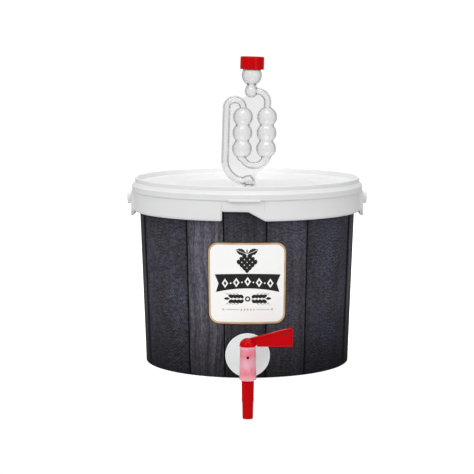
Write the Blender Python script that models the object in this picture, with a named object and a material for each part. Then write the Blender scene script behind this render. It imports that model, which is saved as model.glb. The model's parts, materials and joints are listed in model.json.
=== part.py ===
"""Small plastic fermenting bucket with a snap lid, bubbler airlock, drum tap and bail handle.

Lengths are metres. The origin is the centre of the bucket's flat base, +Z is up and the tap
points along -Y. Round parts that nest share one number of facets, so their gaps stay even.
"""

import math

import bmesh
import bpy
from mathutils import Matrix, Vector

MM = 0.001
GAP = 0.3 * MM          # clearance between neighbouring solids
FACETS = 48             # facets round the bucket, wrap, badge and lid
SMALL_FACETS = 20       # facets round the tap, grommet and cap
TUBE_FACETS = 10        # facets round the airlock's tubes

# Bucket
BASE_RADIUS = 98.62 * MM            # outer wall, at the base
WALL_TAPER = 0.0363                 # outer radius gained per unit of height
WALL = 1.6 * MM
FLOOR = 2.2 * MM
BASE_CHAMFER = 1.6 * MM
RIM_TOP = 173.8 * MM
RIM_THICKNESS = 1.6 * MM
SKIRT_RADIUS = 110.5 * MM
SKIRT_THICKNESS = 1.4 * MM
SKIRT_BOTTOM = 148.2 * MM

# Notch in the front of the skirt, which lets a finger reach the lid's tab
NOTCH_LEFT = -23.9 * MM
NOTCH_TOP_RIGHT = 0.5 * MM
NOTCH_BOTTOM_RIGHT = 15.4 * MM
NOTCH_TOP = 157.2 * MM
NOTCH_BACK = -105.7 * MM

# Ears that carry the bail handle
EAR_OUTER = 113.4 * MM
EAR_INNER = 109.5 * MM
EAR_HALF_WIDTH = 9.0 * MM
EAR_TOP = 166.6 * MM
EAR_TIP = 141.5 * MM
EAR_INNER_TIP = 144.0 * MM
EAR_HOLE_RADIUS = 3.3 * MM
HINGE_HEIGHT = 159.35 * MM

# Printed wrap and badge
FILM = 0.5 * MM
WRAP_BOTTOM = 1.8 * MM
WRAP_TOP = 161.0 * MM
BADGE_FILM = 0.4 * MM
BADGE_HALF_WIDTH = 36.7 * MM
BADGE_BOTTOM = 51.4 * MM
BADGE_TOP = 128.7 * MM
BADGE_CORNER = 9.0 * MM

# Lid
LID_TOP = 180.1 * MM
LID_RADIUS = 113.0 * MM
LID_BOTTOM = 167.0 * MM
LIP_OUTER = 109.53 * MM
LIP_INNER = 107.6 * MM
LEDGE_HEIGHT = 175.5 * MM
STEP_HEIGHT = 173.4 * MM
PANEL_HEIGHT = 172.7 * MM
PANEL_THICKNESS = 1.5 * MM
PLUG_BOTTOM = 168.0 * MM
TAB_INNER = 111.8 * MM
TAB_OUTER = 114.9 * MM
TAB_BOTTOM = 166.4 * MM
TAB_TOP = 168.6 * MM
TAB_ANGLES = (-9.4, 6.3)            # degrees round from the front, + towards +X

# Airlock: local u runs to the right and w up its own axis, from the stem's place on the lid
STEM_X = 1.26 * MM
STEM_Y = -55.0 * MM
AIRLOCK_LEAN = 1.8                  # degrees, top towards +X
AIRLOCK_WALL = 1.1 * MM
STEM_RADIUS = 4.4 * MM
STEM_BORE = 3.0 * MM
STEM_LENGTH = 33.0 * MM
BOSS_RADIUS = 6.0 * MM
BOSS_BOTTOM = 3.8 * MM
BOSS_CENTRE = 7.8 * MM
TUBE_RADIUS = 3.6 * MM
ELBOW_RADIUS = 20.0 * MM
RISER_U = -23.2 * MM
RISER_TOP = 76.6 * MM
LEFT_COLUMN_U = -7.7 * MM
RIGHT_COLUMN_U = 15.0 * MM
LEFT_LOWEST = 38.4 * MM
RIGHT_LOWEST = 39.1 * MM
BUBBLE_RADIUS = 9.4 * MM
BUBBLE_PITCH = 14.9 * MM
BUBBLES = 3
LOWER_BEND_W = 34.1 * MM
OUTLET_RADIUS = 10.1 * MM
TOP_AXIS_U = -0.6 * MM
SMALL_BULB_W = 92.8 * MM
SMALL_BULB_RADIUS = 6.2 * MM
BIG_BULB_W = 107.8 * MM
BIG_BULB_RADIUS = 9.4 * MM
NECK_RADIUS = 3.2 * MM
COLLAR_RADIUS = 8.9 * MM
COLLAR_BOTTOM = 114.2 * MM
COLLAR_TOP = 123.0 * MM
WEB_THICKNESS = 1.3 * MM

# Airlock cap
CAP_RADIUS = 11.25 * MM
CAP_WALL = 1.6 * MM
CAP_BOTTOM = 113.2 * MM
CAP_TOP = 125.3 * MM
VENT_RADIUS = 0.8 * MM

# Grommet
GROMMET_HOLE = 6.6 * MM
GROMMET_BORE = 4.8 * MM
GROMMET_TOP = 175.0 * MM
GROMMET_BOTTOM = 168.4 * MM
GROMMET_FLANGE = 10.5 * MM
GROMMET_TAIL = 8.2 * MM

# Tap
TAP_Y = -128.0 * MM
SHANK_HEIGHT = 22.6 * MM
SHANK_RADIUS = 10.3 * MM
SHANK_BORE = 5.5 * MM
SHANK_END = -84.5 * MM
TAP_HOLE = 10.7 * MM
FLANGE_RADIUS = 20.7 * MM
FLANGE_BACK = -102.9 * MM
FLANGE_THICKNESS = 2.2 * MM
TAP_NECK_RADIUS = 6.8 * MM
BARREL_BOTTOM = 4.4 * MM
BARREL_TOP = 35.6 * MM
BARREL_RADIUS = 7.5 * MM
BARREL_FOOT = 7.95 * MM
BARREL_BORE = 6.2 * MM
PIT_HEIGHT = 26.2 * MM
PIT_RADIUS = 1.5 * MM
PIT_DEPTH = 0.7 * MM

SEAL_RADIUS = 20.2 * MM
INNER_SEAL_RADIUS = 15.5 * MM
INNER_SEAL_BACK = -94.4 * MM
NUT_RADIUS = 16.0 * MM              # over the corners
NUT_FRONT = -94.1 * MM
NUT_BACK = -87.0 * MM

# Lever, plug and spout, one moulding
PLUG_RADIUS = 5.9 * MM
SPOUT_TIP = -31.6 * MM
SPOUT_STEP = -17.0 * MM
SPOUT_RADIUS = 5.7 * MM
SPOUT_TIP_RADIUS = 4.8 * MM
SPOUT_BORE = 3.4 * MM
PORT_RADIUS = 3.2 * MM
HUB_RADIUS = 7.7 * MM
HUB_BOTTOM = 35.9 * MM
HUB_TOP = 43.0 * MM
LEVER_HALF_THICKNESS = 2.0 * MM
LEVER_LENGTH = 41.0 * MM
LEVER_BOTTOM = 35.3 * MM
LEVER_TIP_TOP = 53.0 * MM
LEVER_HOLE = (35.3 * MM, 46.8 * MM)
LEVER_HOLE_RADIUS = 1.3 * MM

# Bail handle
BAIL_RADIUS = 115.4 * MM
BAIL_HALF_THICKNESS = 1.7 * MM
BAIL_HALF_HEIGHT = 3.4 * MM
GRIP_HALF_THICKNESS = 3.2 * MM
GRIP_HALF_HEIGHT = 7.0 * MM
GRIP_HALF_ANGLE = 26.0              # degrees of bail each side of its middle
GRIP_BLEND = 8.0                    # degrees over which the strap swells into the grip
BAIL_STRAIGHT = 16.0 * MM           # straight run of each arm beside the lid's rim
BAIL_REST_ANGLE = -6.0              # degrees, below level, behind the bucket
HUB_DISC_RADIUS = 5.3 * MM
PEG_RADIUS = 2.9 * MM
PEG_INNER = 110.0 * MM


def clear_scene():
    for item in list(bpy.data.objects):
        bpy.data.objects.remove(item, do_unlink=True)


def plastic(name, colour, roughness, alpha=1.0, transmission=0.0):
    """A Principled material for one moulding."""
    made = bpy.data.materials.new(name)
    made.use_nodes = True
    shader = made.node_tree.nodes["Principled BSDF"]
    shader.inputs["Base Color"].default_value = (*colour, 1.0)
    shader.inputs["Roughness"].default_value = roughness
    shader.inputs["Metallic"].default_value = 0.0
    shader.inputs["Alpha"].default_value = alpha
    shader.inputs["Transmission Weight"].default_value = transmission
    made.diffuse_color = (*colour, alpha)
    return made


def add_object(name, shape, finish=None, parent=None):
    """Turn a bmesh into an object, shaded smooth except over its sharp edges."""
    bmesh.ops.recalc_face_normals(shape, faces=shape.faces)
    mesh = bpy.data.meshes.new(name)
    shape.to_mesh(mesh)
    shape.free()
    mesh.shade_smooth()
    mesh.set_sharp_from_angle(angle=math.radians(35))
    made = bpy.data.objects.new(name, mesh)
    bpy.context.collection.objects.link(made)
    if finish:
        mesh.materials.append(finish)
    made.parent = parent
    return made


def add_empty(name, place, rotation=(0.0, 0.0, 0.0), parent=None):
    made = bpy.data.objects.new(name, None)
    made.location = place
    made.rotation_euler = rotation
    made.parent = parent
    bpy.context.collection.objects.link(made)
    return made


def combine(target, operation, shape, label, parent=None):
    """Join, cut or intersect the target with a hidden solid."""
    tool = add_object(f"{target.name}_{label}", shape, parent=parent)
    tool.hide_render = True
    tool.display_type = "WIRE"
    step = target.modifiers.new(label, "BOOLEAN")
    step.operation = operation
    step.object = tool
    return tool


def turned(profile, facets, ring=False):
    """Spin a profile of (radius, height) points about Z.

    A ring's profile closes on itself. Any other profile starts and ends on the axis.
    """
    shape = bmesh.new()
    points = [shape.verts.new((radius, 0.0, height)) for radius, height in profile]
    pairs = list(zip(points, points[1:]))
    if ring:
        pairs.append((points[-1], points[0]))
    edges = [shape.edges.new(pair) for pair in pairs]
    bmesh.ops.spin(
        shape,
        geom=points + edges,
        cent=(0.0, 0.0, 0.0),
        axis=(0.0, 0.0, 1.0),
        angle=math.tau,
        steps=facets,
        use_merge=True,
    )
    bmesh.ops.remove_doubles(shape, verts=shape.verts, dist=1e-6)
    return shape


def move(shape, matrix):
    bmesh.ops.transform(shape, matrix=matrix, verts=shape.verts)
    return shape


def along_y(shape):
    """Lay a shape turned about Z down, so that its +Z points along +Y."""
    return move(shape, Matrix.Rotation(math.radians(-90), 4, "X"))


def along_x(shape):
    """Lay a shape turned about Z down, so that its +Z points along +X."""
    return move(shape, Matrix.Rotation(math.radians(90), 4, "Y"))


def at(shape, x, y, z):
    return move(shape, Matrix.Translation((x, y, z)))


def rod(radius, low, high, facets=SMALL_FACETS):
    """A plain cylinder about Z from one height to another."""
    return turned([(0.0, high), (radius, high), (radius, low), (0.0, low)], facets)


def prism(outline, axis, low, high):
    """Extrude an outline drawn in the plane across X, Y or Z between two places on that axis."""
    place = {
        "X": lambda a, b, depth: (depth, a, b),
        "Y": lambda a, b, depth: (a, depth, b),
        "Z": lambda a, b, depth: (a, b, depth),
    }[axis]
    shape = bmesh.new()
    start = [shape.verts.new(place(a, b, low)) for a, b in outline]
    end = [shape.verts.new(place(a, b, high)) for a, b in outline]
    shape.faces.new(start)
    shape.faces.new(reversed(end))
    for index in range(len(outline)):
        after = (index + 1) % len(outline)
        shape.faces.new((start[index], end[index], end[after], start[after]))
    return shape


def arc(centre, radius, start, end, count):
    """Points on a circle between two angles in degrees, both ends included."""
    angles = [math.radians(start + (end - start) * step / count) for step in range(count + 1)]
    return [(centre[0] + radius * math.cos(a), centre[1] + radius * math.sin(a)) for a in angles]


def swept(path, facets):
    """A round bar along (u, w, radius) points in the XZ plane, closed at both ends."""
    shape = bmesh.new()
    rings = []
    for index, (u, w, radius) in enumerate(path):
        before = path[max(index - 1, 0)]
        after = path[min(index + 1, len(path) - 1)]
        ahead = Vector((after[0] - before[0], 0.0, after[1] - before[1])).normalized()
        across = Vector((ahead.z, 0.0, -ahead.x))
        ring = []
        for facet in range(facets):
            angle = math.tau * facet / facets
            offset = across * math.cos(angle) + Vector((0.0, 1.0, 0.0)) * math.sin(angle)
            ring.append(shape.verts.new(Vector((u, 0.0, w)) + offset * radius))
        rings.append(ring)
    shape.faces.new(rings[0])
    shape.faces.new(reversed(rings[-1]))
    for low, high in zip(rings, rings[1:]):
        for facet in range(facets):
            after = (facet + 1) % facets
            shape.faces.new((low[facet], high[facet], high[after], low[after]))
    return shape


def wall_radius(height, outward=0.0):
    """Outer radius of the bucket's tapered wall at a height, plus an offset."""
    return BASE_RADIUS + WALL_TAPER * height + outward


def wall_solid(outward, low, high):
    """A solid frustum that follows the bucket's wall at an offset."""
    return turned(
        [(0.0, high), (wall_radius(high, outward), high), (wall_radius(low, outward), low), (0.0, low)],
        FACETS,
    )


def film(inner, outer, low, high):
    """A thin tapered sleeve between two offsets from the bucket's wall."""
    return turned(
        [
            (wall_radius(high, outer), high),
            (wall_radius(low, outer), low),
            (wall_radius(low, inner), low),
            (wall_radius(high, inner), high),
        ],
        FACETS,
        ring=True,
    )


def bucket_profile():
    inside_floor = wall_radius(FLOOR, -WALL)
    flange_under = RIM_TOP - RIM_THICKNESS
    skirt_inner = SKIRT_RADIUS - SKIRT_THICKNESS
    return [
        (0.0, 0.0),
        (wall_radius(0.0, -BASE_CHAMFER), 0.0),
        (wall_radius(BASE_CHAMFER), BASE_CHAMFER),
        (wall_radius(flange_under), flange_under),
        (skirt_inner, flange_under),
        (skirt_inner, SKIRT_BOTTOM),
        (SKIRT_RADIUS, SKIRT_BOTTOM),
        (SKIRT_RADIUS, RIM_TOP - 0.6 * MM),
        (SKIRT_RADIUS - 0.6 * MM, RIM_TOP),
        (wall_radius(RIM_TOP, -WALL), RIM_TOP),
        (wall_radius(FLOOR + BASE_CHAMFER, -WALL), FLOOR + BASE_CHAMFER),
        (inside_floor - BASE_CHAMFER, FLOOR),
        (0.0, FLOOR),
    ]


def ear_shape(side):
    """A rounded tongue on the skirt, its inner lower edge sloped off."""
    arc_centre = (0.0, EAR_TIP + EAR_HALF_WIDTH)
    outline = [(-EAR_HALF_WIDTH, EAR_TOP)]
    outline += arc(arc_centre, EAR_HALF_WIDTH, 180, 360, 8)
    outline += [(EAR_HALF_WIDTH, EAR_TOP)]
    shape = prism(outline, "X", side * EAR_INNER, side * EAR_OUTER)
    for vertex in shape.verts:
        if abs(vertex.co.x) < (EAR_INNER + EAR_OUTER) / 2:
            vertex.co.z = max(vertex.co.z, EAR_INNER_TIP)
    return shape


def make_bucket(finish):
    shell = add_object("bucket_shell", turned(bucket_profile(), FACETS), finish)
    for side, label in ((-1, "left"), (1, "right")):
        combine(shell, "UNION", ear_shape(side), f"{label}_ear")
        hole = along_x(rod(EAR_HOLE_RADIUS, 107.5 * MM, 115 * MM, 16))
        if side < 0:
            hole = move(hole, Matrix.Rotation(math.pi, 4, "Z"))
        combine(shell, "DIFFERENCE", at(hole, 0.0, 0.0, HINGE_HEIGHT), f"{label}_peg_hole")
    notch = [
        (NOTCH_LEFT, SKIRT_BOTTOM - 5 * MM),
        (NOTCH_BOTTOM_RIGHT + 1.2 * MM, SKIRT_BOTTOM - 5 * MM),
        (NOTCH_BOTTOM_RIGHT, SKIRT_BOTTOM),
        (NOTCH_TOP_RIGHT, NOTCH_TOP),
        (NOTCH_LEFT, NOTCH_TOP),
    ]
    combine(shell, "DIFFERENCE", prism(notch, "Y", -120 * MM, NOTCH_BACK), "notch")
    hole = at(along_y(rod(TAP_HOLE, -110 * MM, -90 * MM)), 0.0, 0.0, SHANK_HEIGHT)
    combine(shell, "DIFFERENCE", hole, "tap_hole")


def make_wrap(finish):
    wrap = add_object("printed_wrap", film(GAP, GAP + FILM, WRAP_BOTTOM, WRAP_TOP), finish)
    hole = at(along_y(rod(TAP_HOLE + GAP, -110 * MM, -90 * MM)), 0.0, 0.0, SHANK_HEIGHT)
    combine(wrap, "DIFFERENCE", hole, "tap_hole")


def rounded_rectangle(half_width, low, high, corner, steps):
    right, left = half_width - corner, corner - half_width
    top, bottom = high - corner, low + corner
    return (
        arc((right, bottom), corner, -90, 0, steps)
        + arc((right, top), corner, 0, 90, steps)
        + arc((left, top), corner, 90, 180, steps)
        + arc((left, bottom), corner, 180, 270, steps)
    )


def make_badge(finish):
    inner = GAP + FILM + GAP
    low, high = BADGE_BOTTOM - 5 * MM, BADGE_TOP + 5 * MM
    badge = add_object("front_badge", film(inner, inner + BADGE_FILM, low, high), finish)
    outline = rounded_rectangle(BADGE_HALF_WIDTH, BADGE_BOTTOM, BADGE_TOP, BADGE_CORNER, 5)
    middle_radius = wall_radius((BADGE_BOTTOM + BADGE_TOP) / 2)
    outline = [(x * wall_radius(z) / middle_radius, z) for x, z in outline]
    combine(badge, "INTERSECT", prism(outline, "Y", -120 * MM, -80 * MM), "outline")


def lid_profile():
    plug_outer = wall_radius(PLUG_BOTTOM, -WALL - GAP)
    under = PANEL_THICKNESS
    return [
        (0.0, PANEL_HEIGHT),
        (67.0 * MM, PANEL_HEIGHT),
        (68.0 * MM, STEP_HEIGHT + 0.7 * MM),
        (70.0 * MM, STEP_HEIGHT + 0.7 * MM),
        (71.0 * MM, STEP_HEIGHT),
        (80.0 * MM, STEP_HEIGHT),
        (82.0 * MM, LEDGE_HEIGHT),
        (106.0 * MM, LEDGE_HEIGHT),
        (LIP_INNER, LID_TOP),
        (LIP_OUTER - 0.3 * MM, LID_TOP),
        (LIP_OUTER, LID_TOP - 0.4 * MM),
        (110.0 * MM, 176.7 * MM),
        (LID_RADIUS - 0.2 * MM, 173.3 * MM),
        (LID_RADIUS, 170.2 * MM),
        (LID_RADIUS, LID_BOTTOM),
        (SKIRT_RADIUS + GAP + 0.1 * MM, LID_BOTTOM),
        (SKIRT_RADIUS + GAP + 0.1 * MM, RIM_TOP + GAP),
        (plug_outer, RIM_TOP + GAP),
        (plug_outer, PLUG_BOTTOM),
        (plug_outer - 1.4 * MM, PLUG_BOTTOM),
        (plug_outer - 1.4 * MM, LEDGE_HEIGHT - under),
        (83.0 * MM, LEDGE_HEIGHT - under),
        (81.0 * MM, STEP_HEIGHT - under),
        (68.0 * MM, PANEL_HEIGHT - under),
        (0.0, PANEL_HEIGHT - under),
    ]


def make_lid(finish):
    lid = add_object("lid", turned(lid_profile(), FACETS), finish)
    start, end = (angle - 90 for angle in TAB_ANGLES)
    tab = arc((0.0, 0.0), TAB_OUTER, start, end, 4) + arc((0.0, 0.0), TAB_INNER, end, start, 4)
    combine(lid, "UNION", prism(tab, "Z", TAB_BOTTOM, TAB_TOP), "finger_tab")
    hole = at(rod(GROMMET_HOLE, 165 * MM, 180 * MM), STEM_X, STEM_Y, 0.0)
    combine(lid, "DIFFERENCE", hole, "grommet_hole")


def make_grommet(finish):
    groove_top = PANEL_HEIGHT + GAP
    groove_bottom = PANEL_HEIGHT - PANEL_THICKNESS - GAP
    groove = GROMMET_HOLE - GAP
    profile = [
        (GROMMET_BORE, GROMMET_TOP),
        (GROMMET_FLANGE - 0.6 * MM, GROMMET_TOP),
        (GROMMET_FLANGE, GROMMET_TOP - 0.6 * MM),
        (GROMMET_FLANGE, groove_top),
        (groove, groove_top),
        (groove, groove_bottom),
        (GROMMET_TAIL, groove_bottom),
        (GROMMET_TAIL - 1.0 * MM, GROMMET_BOTTOM),
        (GROMMET_BORE, GROMMET_BOTTOM),
    ]
    grommet = turned(profile, SMALL_FACETS, ring=True)
    add_object("airlock_grommet", at(grommet, STEM_X, STEM_Y, 0.0), finish)


def airlock_frame():
    """An empty on the stem's axis, level with the lid's panel, leaning as the airlock does."""
    lean = (0.0, math.radians(AIRLOCK_LEAN), 0.0)
    return add_empty("airlock_axis", (STEM_X, STEM_Y, PANEL_HEIGHT), lean)


def bubble_column(u, lowest, inset, upwards):
    """Rings through a stack of overlapping bubbles, without its two end necks."""
    half_pitch = BUBBLE_PITCH / 2
    waist = math.sqrt(BUBBLE_RADIUS**2 - half_pitch**2) - inset
    rings = []
    for number in range(BUBBLES):
        centre = lowest + number * BUBBLE_PITCH
        if number:
            rings.append((u, centre - half_pitch, waist))
        for share in (-0.66, -0.35, 0.0, 0.35, 0.66):
            rings.append((u, centre + share * BUBBLE_RADIUS, BUBBLE_RADIUS * math.sqrt(1 - share**2) - inset))
    return rings if upwards else rings[::-1]


def airlock_route(inset):
    """The gas path from the stem's boss to the small bulb, as (u, w, radius) rings."""
    tube = TUBE_RADIUS - inset
    elbow_centre = (RISER_U + ELBOW_RADIUS, BOSS_CENTRE + ELBOW_RADIUS)
    crown_radius = (LEFT_COLUMN_U - RISER_U) / 2
    crown_centre = (RISER_U + crown_radius, RISER_TOP)
    bend_radius = (RIGHT_COLUMN_U - LEFT_COLUMN_U) / 2
    bend_centre = (LEFT_COLUMN_U + bend_radius, LOWER_BEND_W)
    outlet_centre = (RIGHT_COLUMN_U - OUTLET_RADIUS, SMALL_BULB_W - OUTLET_RADIUS)
    first = [(0.0, BOSS_CENTRE)]
    first += arc(elbow_centre, ELBOW_RADIUS, 270, 180, 6)
    first += arc(crown_centre, crown_radius, 180, 0, 8)
    second = arc(bend_centre, bend_radius, 205, 335, 6)
    last = arc(outlet_centre, OUTLET_RADIUS, 0, 90, 5) + [(TOP_AXIS_U, SMALL_BULB_W)]
    route = [(u, w, tube) for u, w in first]
    route += bubble_column(LEFT_COLUMN_U, LEFT_LOWEST, inset, upwards=False)
    route += [(u, w, tube) for u, w in second]
    route += bubble_column(RIGHT_COLUMN_U, RIGHT_LOWEST, inset, upwards=True)
    route.append((RIGHT_COLUMN_U, RIGHT_LOWEST + 2 * BUBBLE_PITCH + 0.93 * BUBBLE_RADIUS, tube))
    route += [(u, w, tube) for u, w in last]
    return route


def bulb_points(centre, radius, start, end, count):
    """Profile points (radius, height) over a bulb, from one latitude to another in degrees."""
    return [(u, w) for u, w in arc((0.0, centre), radius, start, end, count)]


def airlock_head(inset, top):
    """Small bulb, neck, big bulb and collar, turned about their own axis."""
    small = SMALL_BULB_RADIUS - inset
    big = BIG_BULB_RADIUS - inset
    neck = NECK_RADIUS - inset
    neck_low = math.degrees(math.acos(neck / small))
    neck_high = math.degrees(math.acos(neck / big))
    profile = [(0.0, top), (COLLAR_RADIUS - inset, top), (COLLAR_RADIUS - inset, COLLAR_BOTTOM)]
    profile += bulb_points(BIG_BULB_W, big, 25, -neck_high, 5)
    profile += bulb_points(SMALL_BULB_W, small, neck_low, -60, 4)
    profile += [(0.0, SMALL_BULB_W - small)]
    return at(turned(profile, 16), TOP_AXIS_U, 0.0, 0.0)


def airlock_stem(inset, low):
    """Stem and the domed boss that joins it to the first tube."""
    boss = BOSS_RADIUS - inset
    stem = STEM_RADIUS if not inset else STEM_BORE
    profile = [(0.0, BOSS_CENTRE + boss)]
    profile += bulb_points(BOSS_CENTRE, boss, 60, 0, 3)
    profile += [(boss, BOSS_BOTTOM + inset), (stem, BOSS_BOTTOM + inset)]
    profile += [(stem - 0.4 * MM * (not inset), low), (0.0, low)]
    return turned(profile, 16)


def airlock_web():
    """Flat web between the tubes, drawn along their middles."""
    crown = (LEFT_COLUMN_U - RISER_U) / 2
    outline = [(RISER_U, RISER_TOP)]
    outline += arc((RISER_U + ELBOW_RADIUS, BOSS_CENTRE + ELBOW_RADIUS), ELBOW_RADIUS, 180, 270, 6)
    outline += [
        (5.0 * MM, BOSS_CENTRE),
        (6.6 * MM, 12.0 * MM),
        (8.6 * MM, 17.0 * MM),
        (12.8 * MM, 19.2 * MM),
        (18.0 * MM, 26.5 * MM),
        (RIGHT_COLUMN_U + 6.0 * MM, 33.0 * MM),
        (RIGHT_COLUMN_U, RIGHT_LOWEST),
    ]
    outline += arc(
        (RIGHT_COLUMN_U - OUTLET_RADIUS, SMALL_BULB_W - OUTLET_RADIUS), OUTLET_RADIUS, 0, 90, 5
    )
    outline += [(TOP_AXIS_U, SMALL_BULB_W), (-7.2 * MM, 86.6 * MM)]
    outline += arc((RISER_U + crown, RISER_TOP), crown, 60, 150, 4)
    return prism(outline, "Y", -WEB_THICKNESS / 2, WEB_THICKNESS / 2)


def make_airlock(finish, frame):
    body = add_object("airlock_body", swept(airlock_route(0.0), TUBE_FACETS), finish, frame)
    solids = (
        ("UNION", airlock_head(0.0, COLLAR_TOP), "head"),
        ("UNION", airlock_stem(0.0, -STEM_LENGTH), "stem"),
        ("UNION", airlock_web(), "web"),
        ("DIFFERENCE", swept(airlock_route(AIRLOCK_WALL), TUBE_FACETS), "tube_bore"),
        ("DIFFERENCE", airlock_head(AIRLOCK_WALL, COLLAR_TOP + 5 * MM), "head_bore"),
        ("DIFFERENCE", airlock_stem(AIRLOCK_WALL, -STEM_LENGTH - 5 * MM), "stem_bore"),
    )
    for operation, shape, label in solids:
        combine(body, operation, shape, label, frame)


def make_airlock_cap(finish, frame):
    inner = CAP_RADIUS - CAP_WALL
    profile = [
        (0.0, CAP_TOP),
        (CAP_RADIUS - 2.5 * MM, CAP_TOP - 0.3 * MM),
        (CAP_RADIUS, CAP_TOP - 1.0 * MM),
        (CAP_RADIUS, CAP_BOTTOM),
        (inner, CAP_BOTTOM),
        (inner, COLLAR_TOP + GAP),
        (0.0, COLLAR_TOP + GAP),
    ]
    cap = add_object("airlock_cap", turned(profile, SMALL_FACETS), finish, frame)
    cap.location = (TOP_AXIS_U, 0.0, 0.0)
    vent = at(along_y(rod(VENT_RADIUS, -15 * MM, -8 * MM, 8)), 0.0, 0.0, CAP_BOTTOM + 3.6 * MM)
    tool = combine(cap, "DIFFERENCE", vent, "vent", frame)
    tool.location = cap.location


def make_tap_body(finish):
    barrel = [
        (BARREL_BORE, BARREL_TOP),
        (BARREL_RADIUS - 0.2 * MM, BARREL_TOP),
        (BARREL_RADIUS, BARREL_BOTTOM + 5 * MM),
        (BARREL_FOOT, BARREL_BOTTOM + 1.8 * MM),
        (BARREL_FOOT, BARREL_BOTTOM),
        (BARREL_BORE, BARREL_BOTTOM),
    ]
    body = add_object("tap_body", turned(barrel, SMALL_FACETS, ring=True), finish)
    body.location = (0.0, TAP_Y, 0.0)
    flange_front = FLANGE_BACK - FLANGE_THICKNESS
    neck_start = TAP_Y + BARREL_BORE + GAP
    stem = [
        (SHANK_BORE, SHANK_END),
        (SHANK_RADIUS, SHANK_END),
        (SHANK_RADIUS, FLANGE_BACK),
        (FLANGE_RADIUS, FLANGE_BACK),
        (FLANGE_RADIUS, flange_front + 0.7 * MM),
        (FLANGE_RADIUS - 0.7 * MM, flange_front),
        (TAP_NECK_RADIUS, flange_front),
        (TAP_NECK_RADIUS, neck_start),
        (SHANK_BORE - GAP, neck_start),
        (SHANK_BORE, neck_start + 1 * MM),
    ]
    shank = at(along_y(turned(stem, 32, ring=True)), 0.0, 0.0, SHANK_HEIGHT)
    combine(body, "UNION", shank, "shank")
    port = at(along_y(rod(PORT_RADIUS, TAP_Y + 3 * MM, neck_start + 2 * MM, 12)), 0.0, 0.0, SHANK_HEIGHT)
    combine(body, "DIFFERENCE", port, "port")
    pit_front = TAP_Y - BARREL_RADIUS
    pit = along_y(rod(PIT_RADIUS, pit_front - 2 * MM, pit_front + PIT_DEPTH, 12))
    combine(body, "DIFFERENCE", at(pit, 0.0, 0.0, PIT_HEIGHT), "front_pit")


def make_seals(finish):
    outer = at(along_y(rod(SEAL_RADIUS, FLANGE_BACK + GAP, -92 * MM, 32)), 0.0, 0.0, SHANK_HEIGHT)
    outer_seal = add_object("tap_outer_seal", outer, finish)
    wall = wall_solid(2 * GAP + FILM, -10 * MM, 60 * MM)
    combine(outer_seal, "DIFFERENCE", wall, "wall")
    bore = at(along_y(rod(SHANK_RADIUS + GAP, -110 * MM, -80 * MM)), 0.0, 0.0, SHANK_HEIGHT)
    combine(outer_seal, "DIFFERENCE", bore, "bore")

    inner = along_y(rod(INNER_SEAL_RADIUS, -105 * MM, INNER_SEAL_BACK))
    inner_seal = add_object("tap_inner_seal", at(inner, 0.0, 0.0, SHANK_HEIGHT), finish)
    combine(inner_seal, "INTERSECT", wall_solid(-WALL - GAP, -10 * MM, 60 * MM), "wall")
    bore = at(along_y(rod(SHANK_RADIUS + GAP, -110 * MM, -80 * MM)), 0.0, 0.0, SHANK_HEIGHT)
    combine(inner_seal, "DIFFERENCE", bore, "bore")


def make_nut(finish):
    nut = at(along_y(rod(NUT_RADIUS, NUT_FRONT, NUT_BACK, 6)), 0.0, 0.0, SHANK_HEIGHT)
    nut = add_object("tap_back_nut", nut, finish)
    bore = at(along_y(rod(SHANK_RADIUS + GAP, -110 * MM, -80 * MM)), 0.0, 0.0, SHANK_HEIGHT)
    combine(nut, "DIFFERENCE", bore, "bore")


def make_tap_lever(finish):
    core = [
        (0.0, HUB_TOP),
        (2.6 * MM, HUB_TOP - 0.3 * MM),
        (5.2 * MM, HUB_TOP - 1.6 * MM),
        (7.0 * MM, HUB_TOP - 3.7 * MM),
        (HUB_RADIUS, HUB_BOTTOM + 1.4 * MM),
        (HUB_RADIUS, HUB_BOTTOM),
        (PLUG_RADIUS, HUB_BOTTOM),
        (PLUG_RADIUS, BARREL_BOTTOM + 0.6 * MM),
        (SPOUT_RADIUS, BARREL_BOTTOM),
        (SPOUT_RADIUS - 0.15 * MM, SPOUT_STEP + 2 * MM),
        (SPOUT_TIP_RADIUS + 0.1 * MM, SPOUT_STEP),
        (SPOUT_TIP_RADIUS, SPOUT_TIP),
        (0.0, SPOUT_TIP),
    ]
    lever = add_object("tap_lever", turned(core, SMALL_FACETS), finish)
    lever.location = (0.0, TAP_Y, 0.0)
    fin_start = BARREL_RADIUS + 2 * GAP
    outline = [
        (0.0, HUB_BOTTOM + GAP),
        (fin_start, HUB_BOTTOM + GAP),
        (fin_start + 0.6 * MM, LEVER_BOTTOM),
    ]
    outline += arc((LEVER_LENGTH - 1.4 * MM, LEVER_BOTTOM + 1.4 * MM), 1.4 * MM, -90, 0, 3)
    outline += arc((LEVER_LENGTH - 2.6 * MM, LEVER_TIP_TOP - 2.6 * MM), 2.6 * MM, 0, 105, 4)
    outline += [(0.0, HUB_TOP)]
    fin = prism(outline, "Y", -LEVER_HALF_THICKNESS, LEVER_HALF_THICKNESS)
    cuts = (
        ("UNION", fin, "fin"),
        ("DIFFERENCE", rod(SPOUT_BORE, SPOUT_TIP - 5 * MM, SHANK_HEIGHT + PORT_RADIUS, 16), "bore"),
        ("DIFFERENCE", at(along_x(rod(PORT_RADIUS, -10 * MM, 0.5 * MM, 12)), 0, 0, SHANK_HEIGHT), "port"),
        (
            "DIFFERENCE",
            at(along_y(rod(LEVER_HOLE_RADIUS, -5 * MM, 5 * MM, 12)), LEVER_HOLE[0], 0, LEVER_HOLE[1]),
            "hang_hole",
        ),
    )
    for operation, shape, label in cuts:
        tool = combine(lever, operation, shape, label)
        tool.location = lever.location


def grip_share(angle):
    """0 on the bail's straps, 1 on its grip, with an even swell between; angle from an ear."""
    inside = GRIP_HALF_ANGLE + GRIP_BLEND - abs(angle - 90.0)
    return min(max(inside / GRIP_BLEND, 0.0), 1.0)


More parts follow.
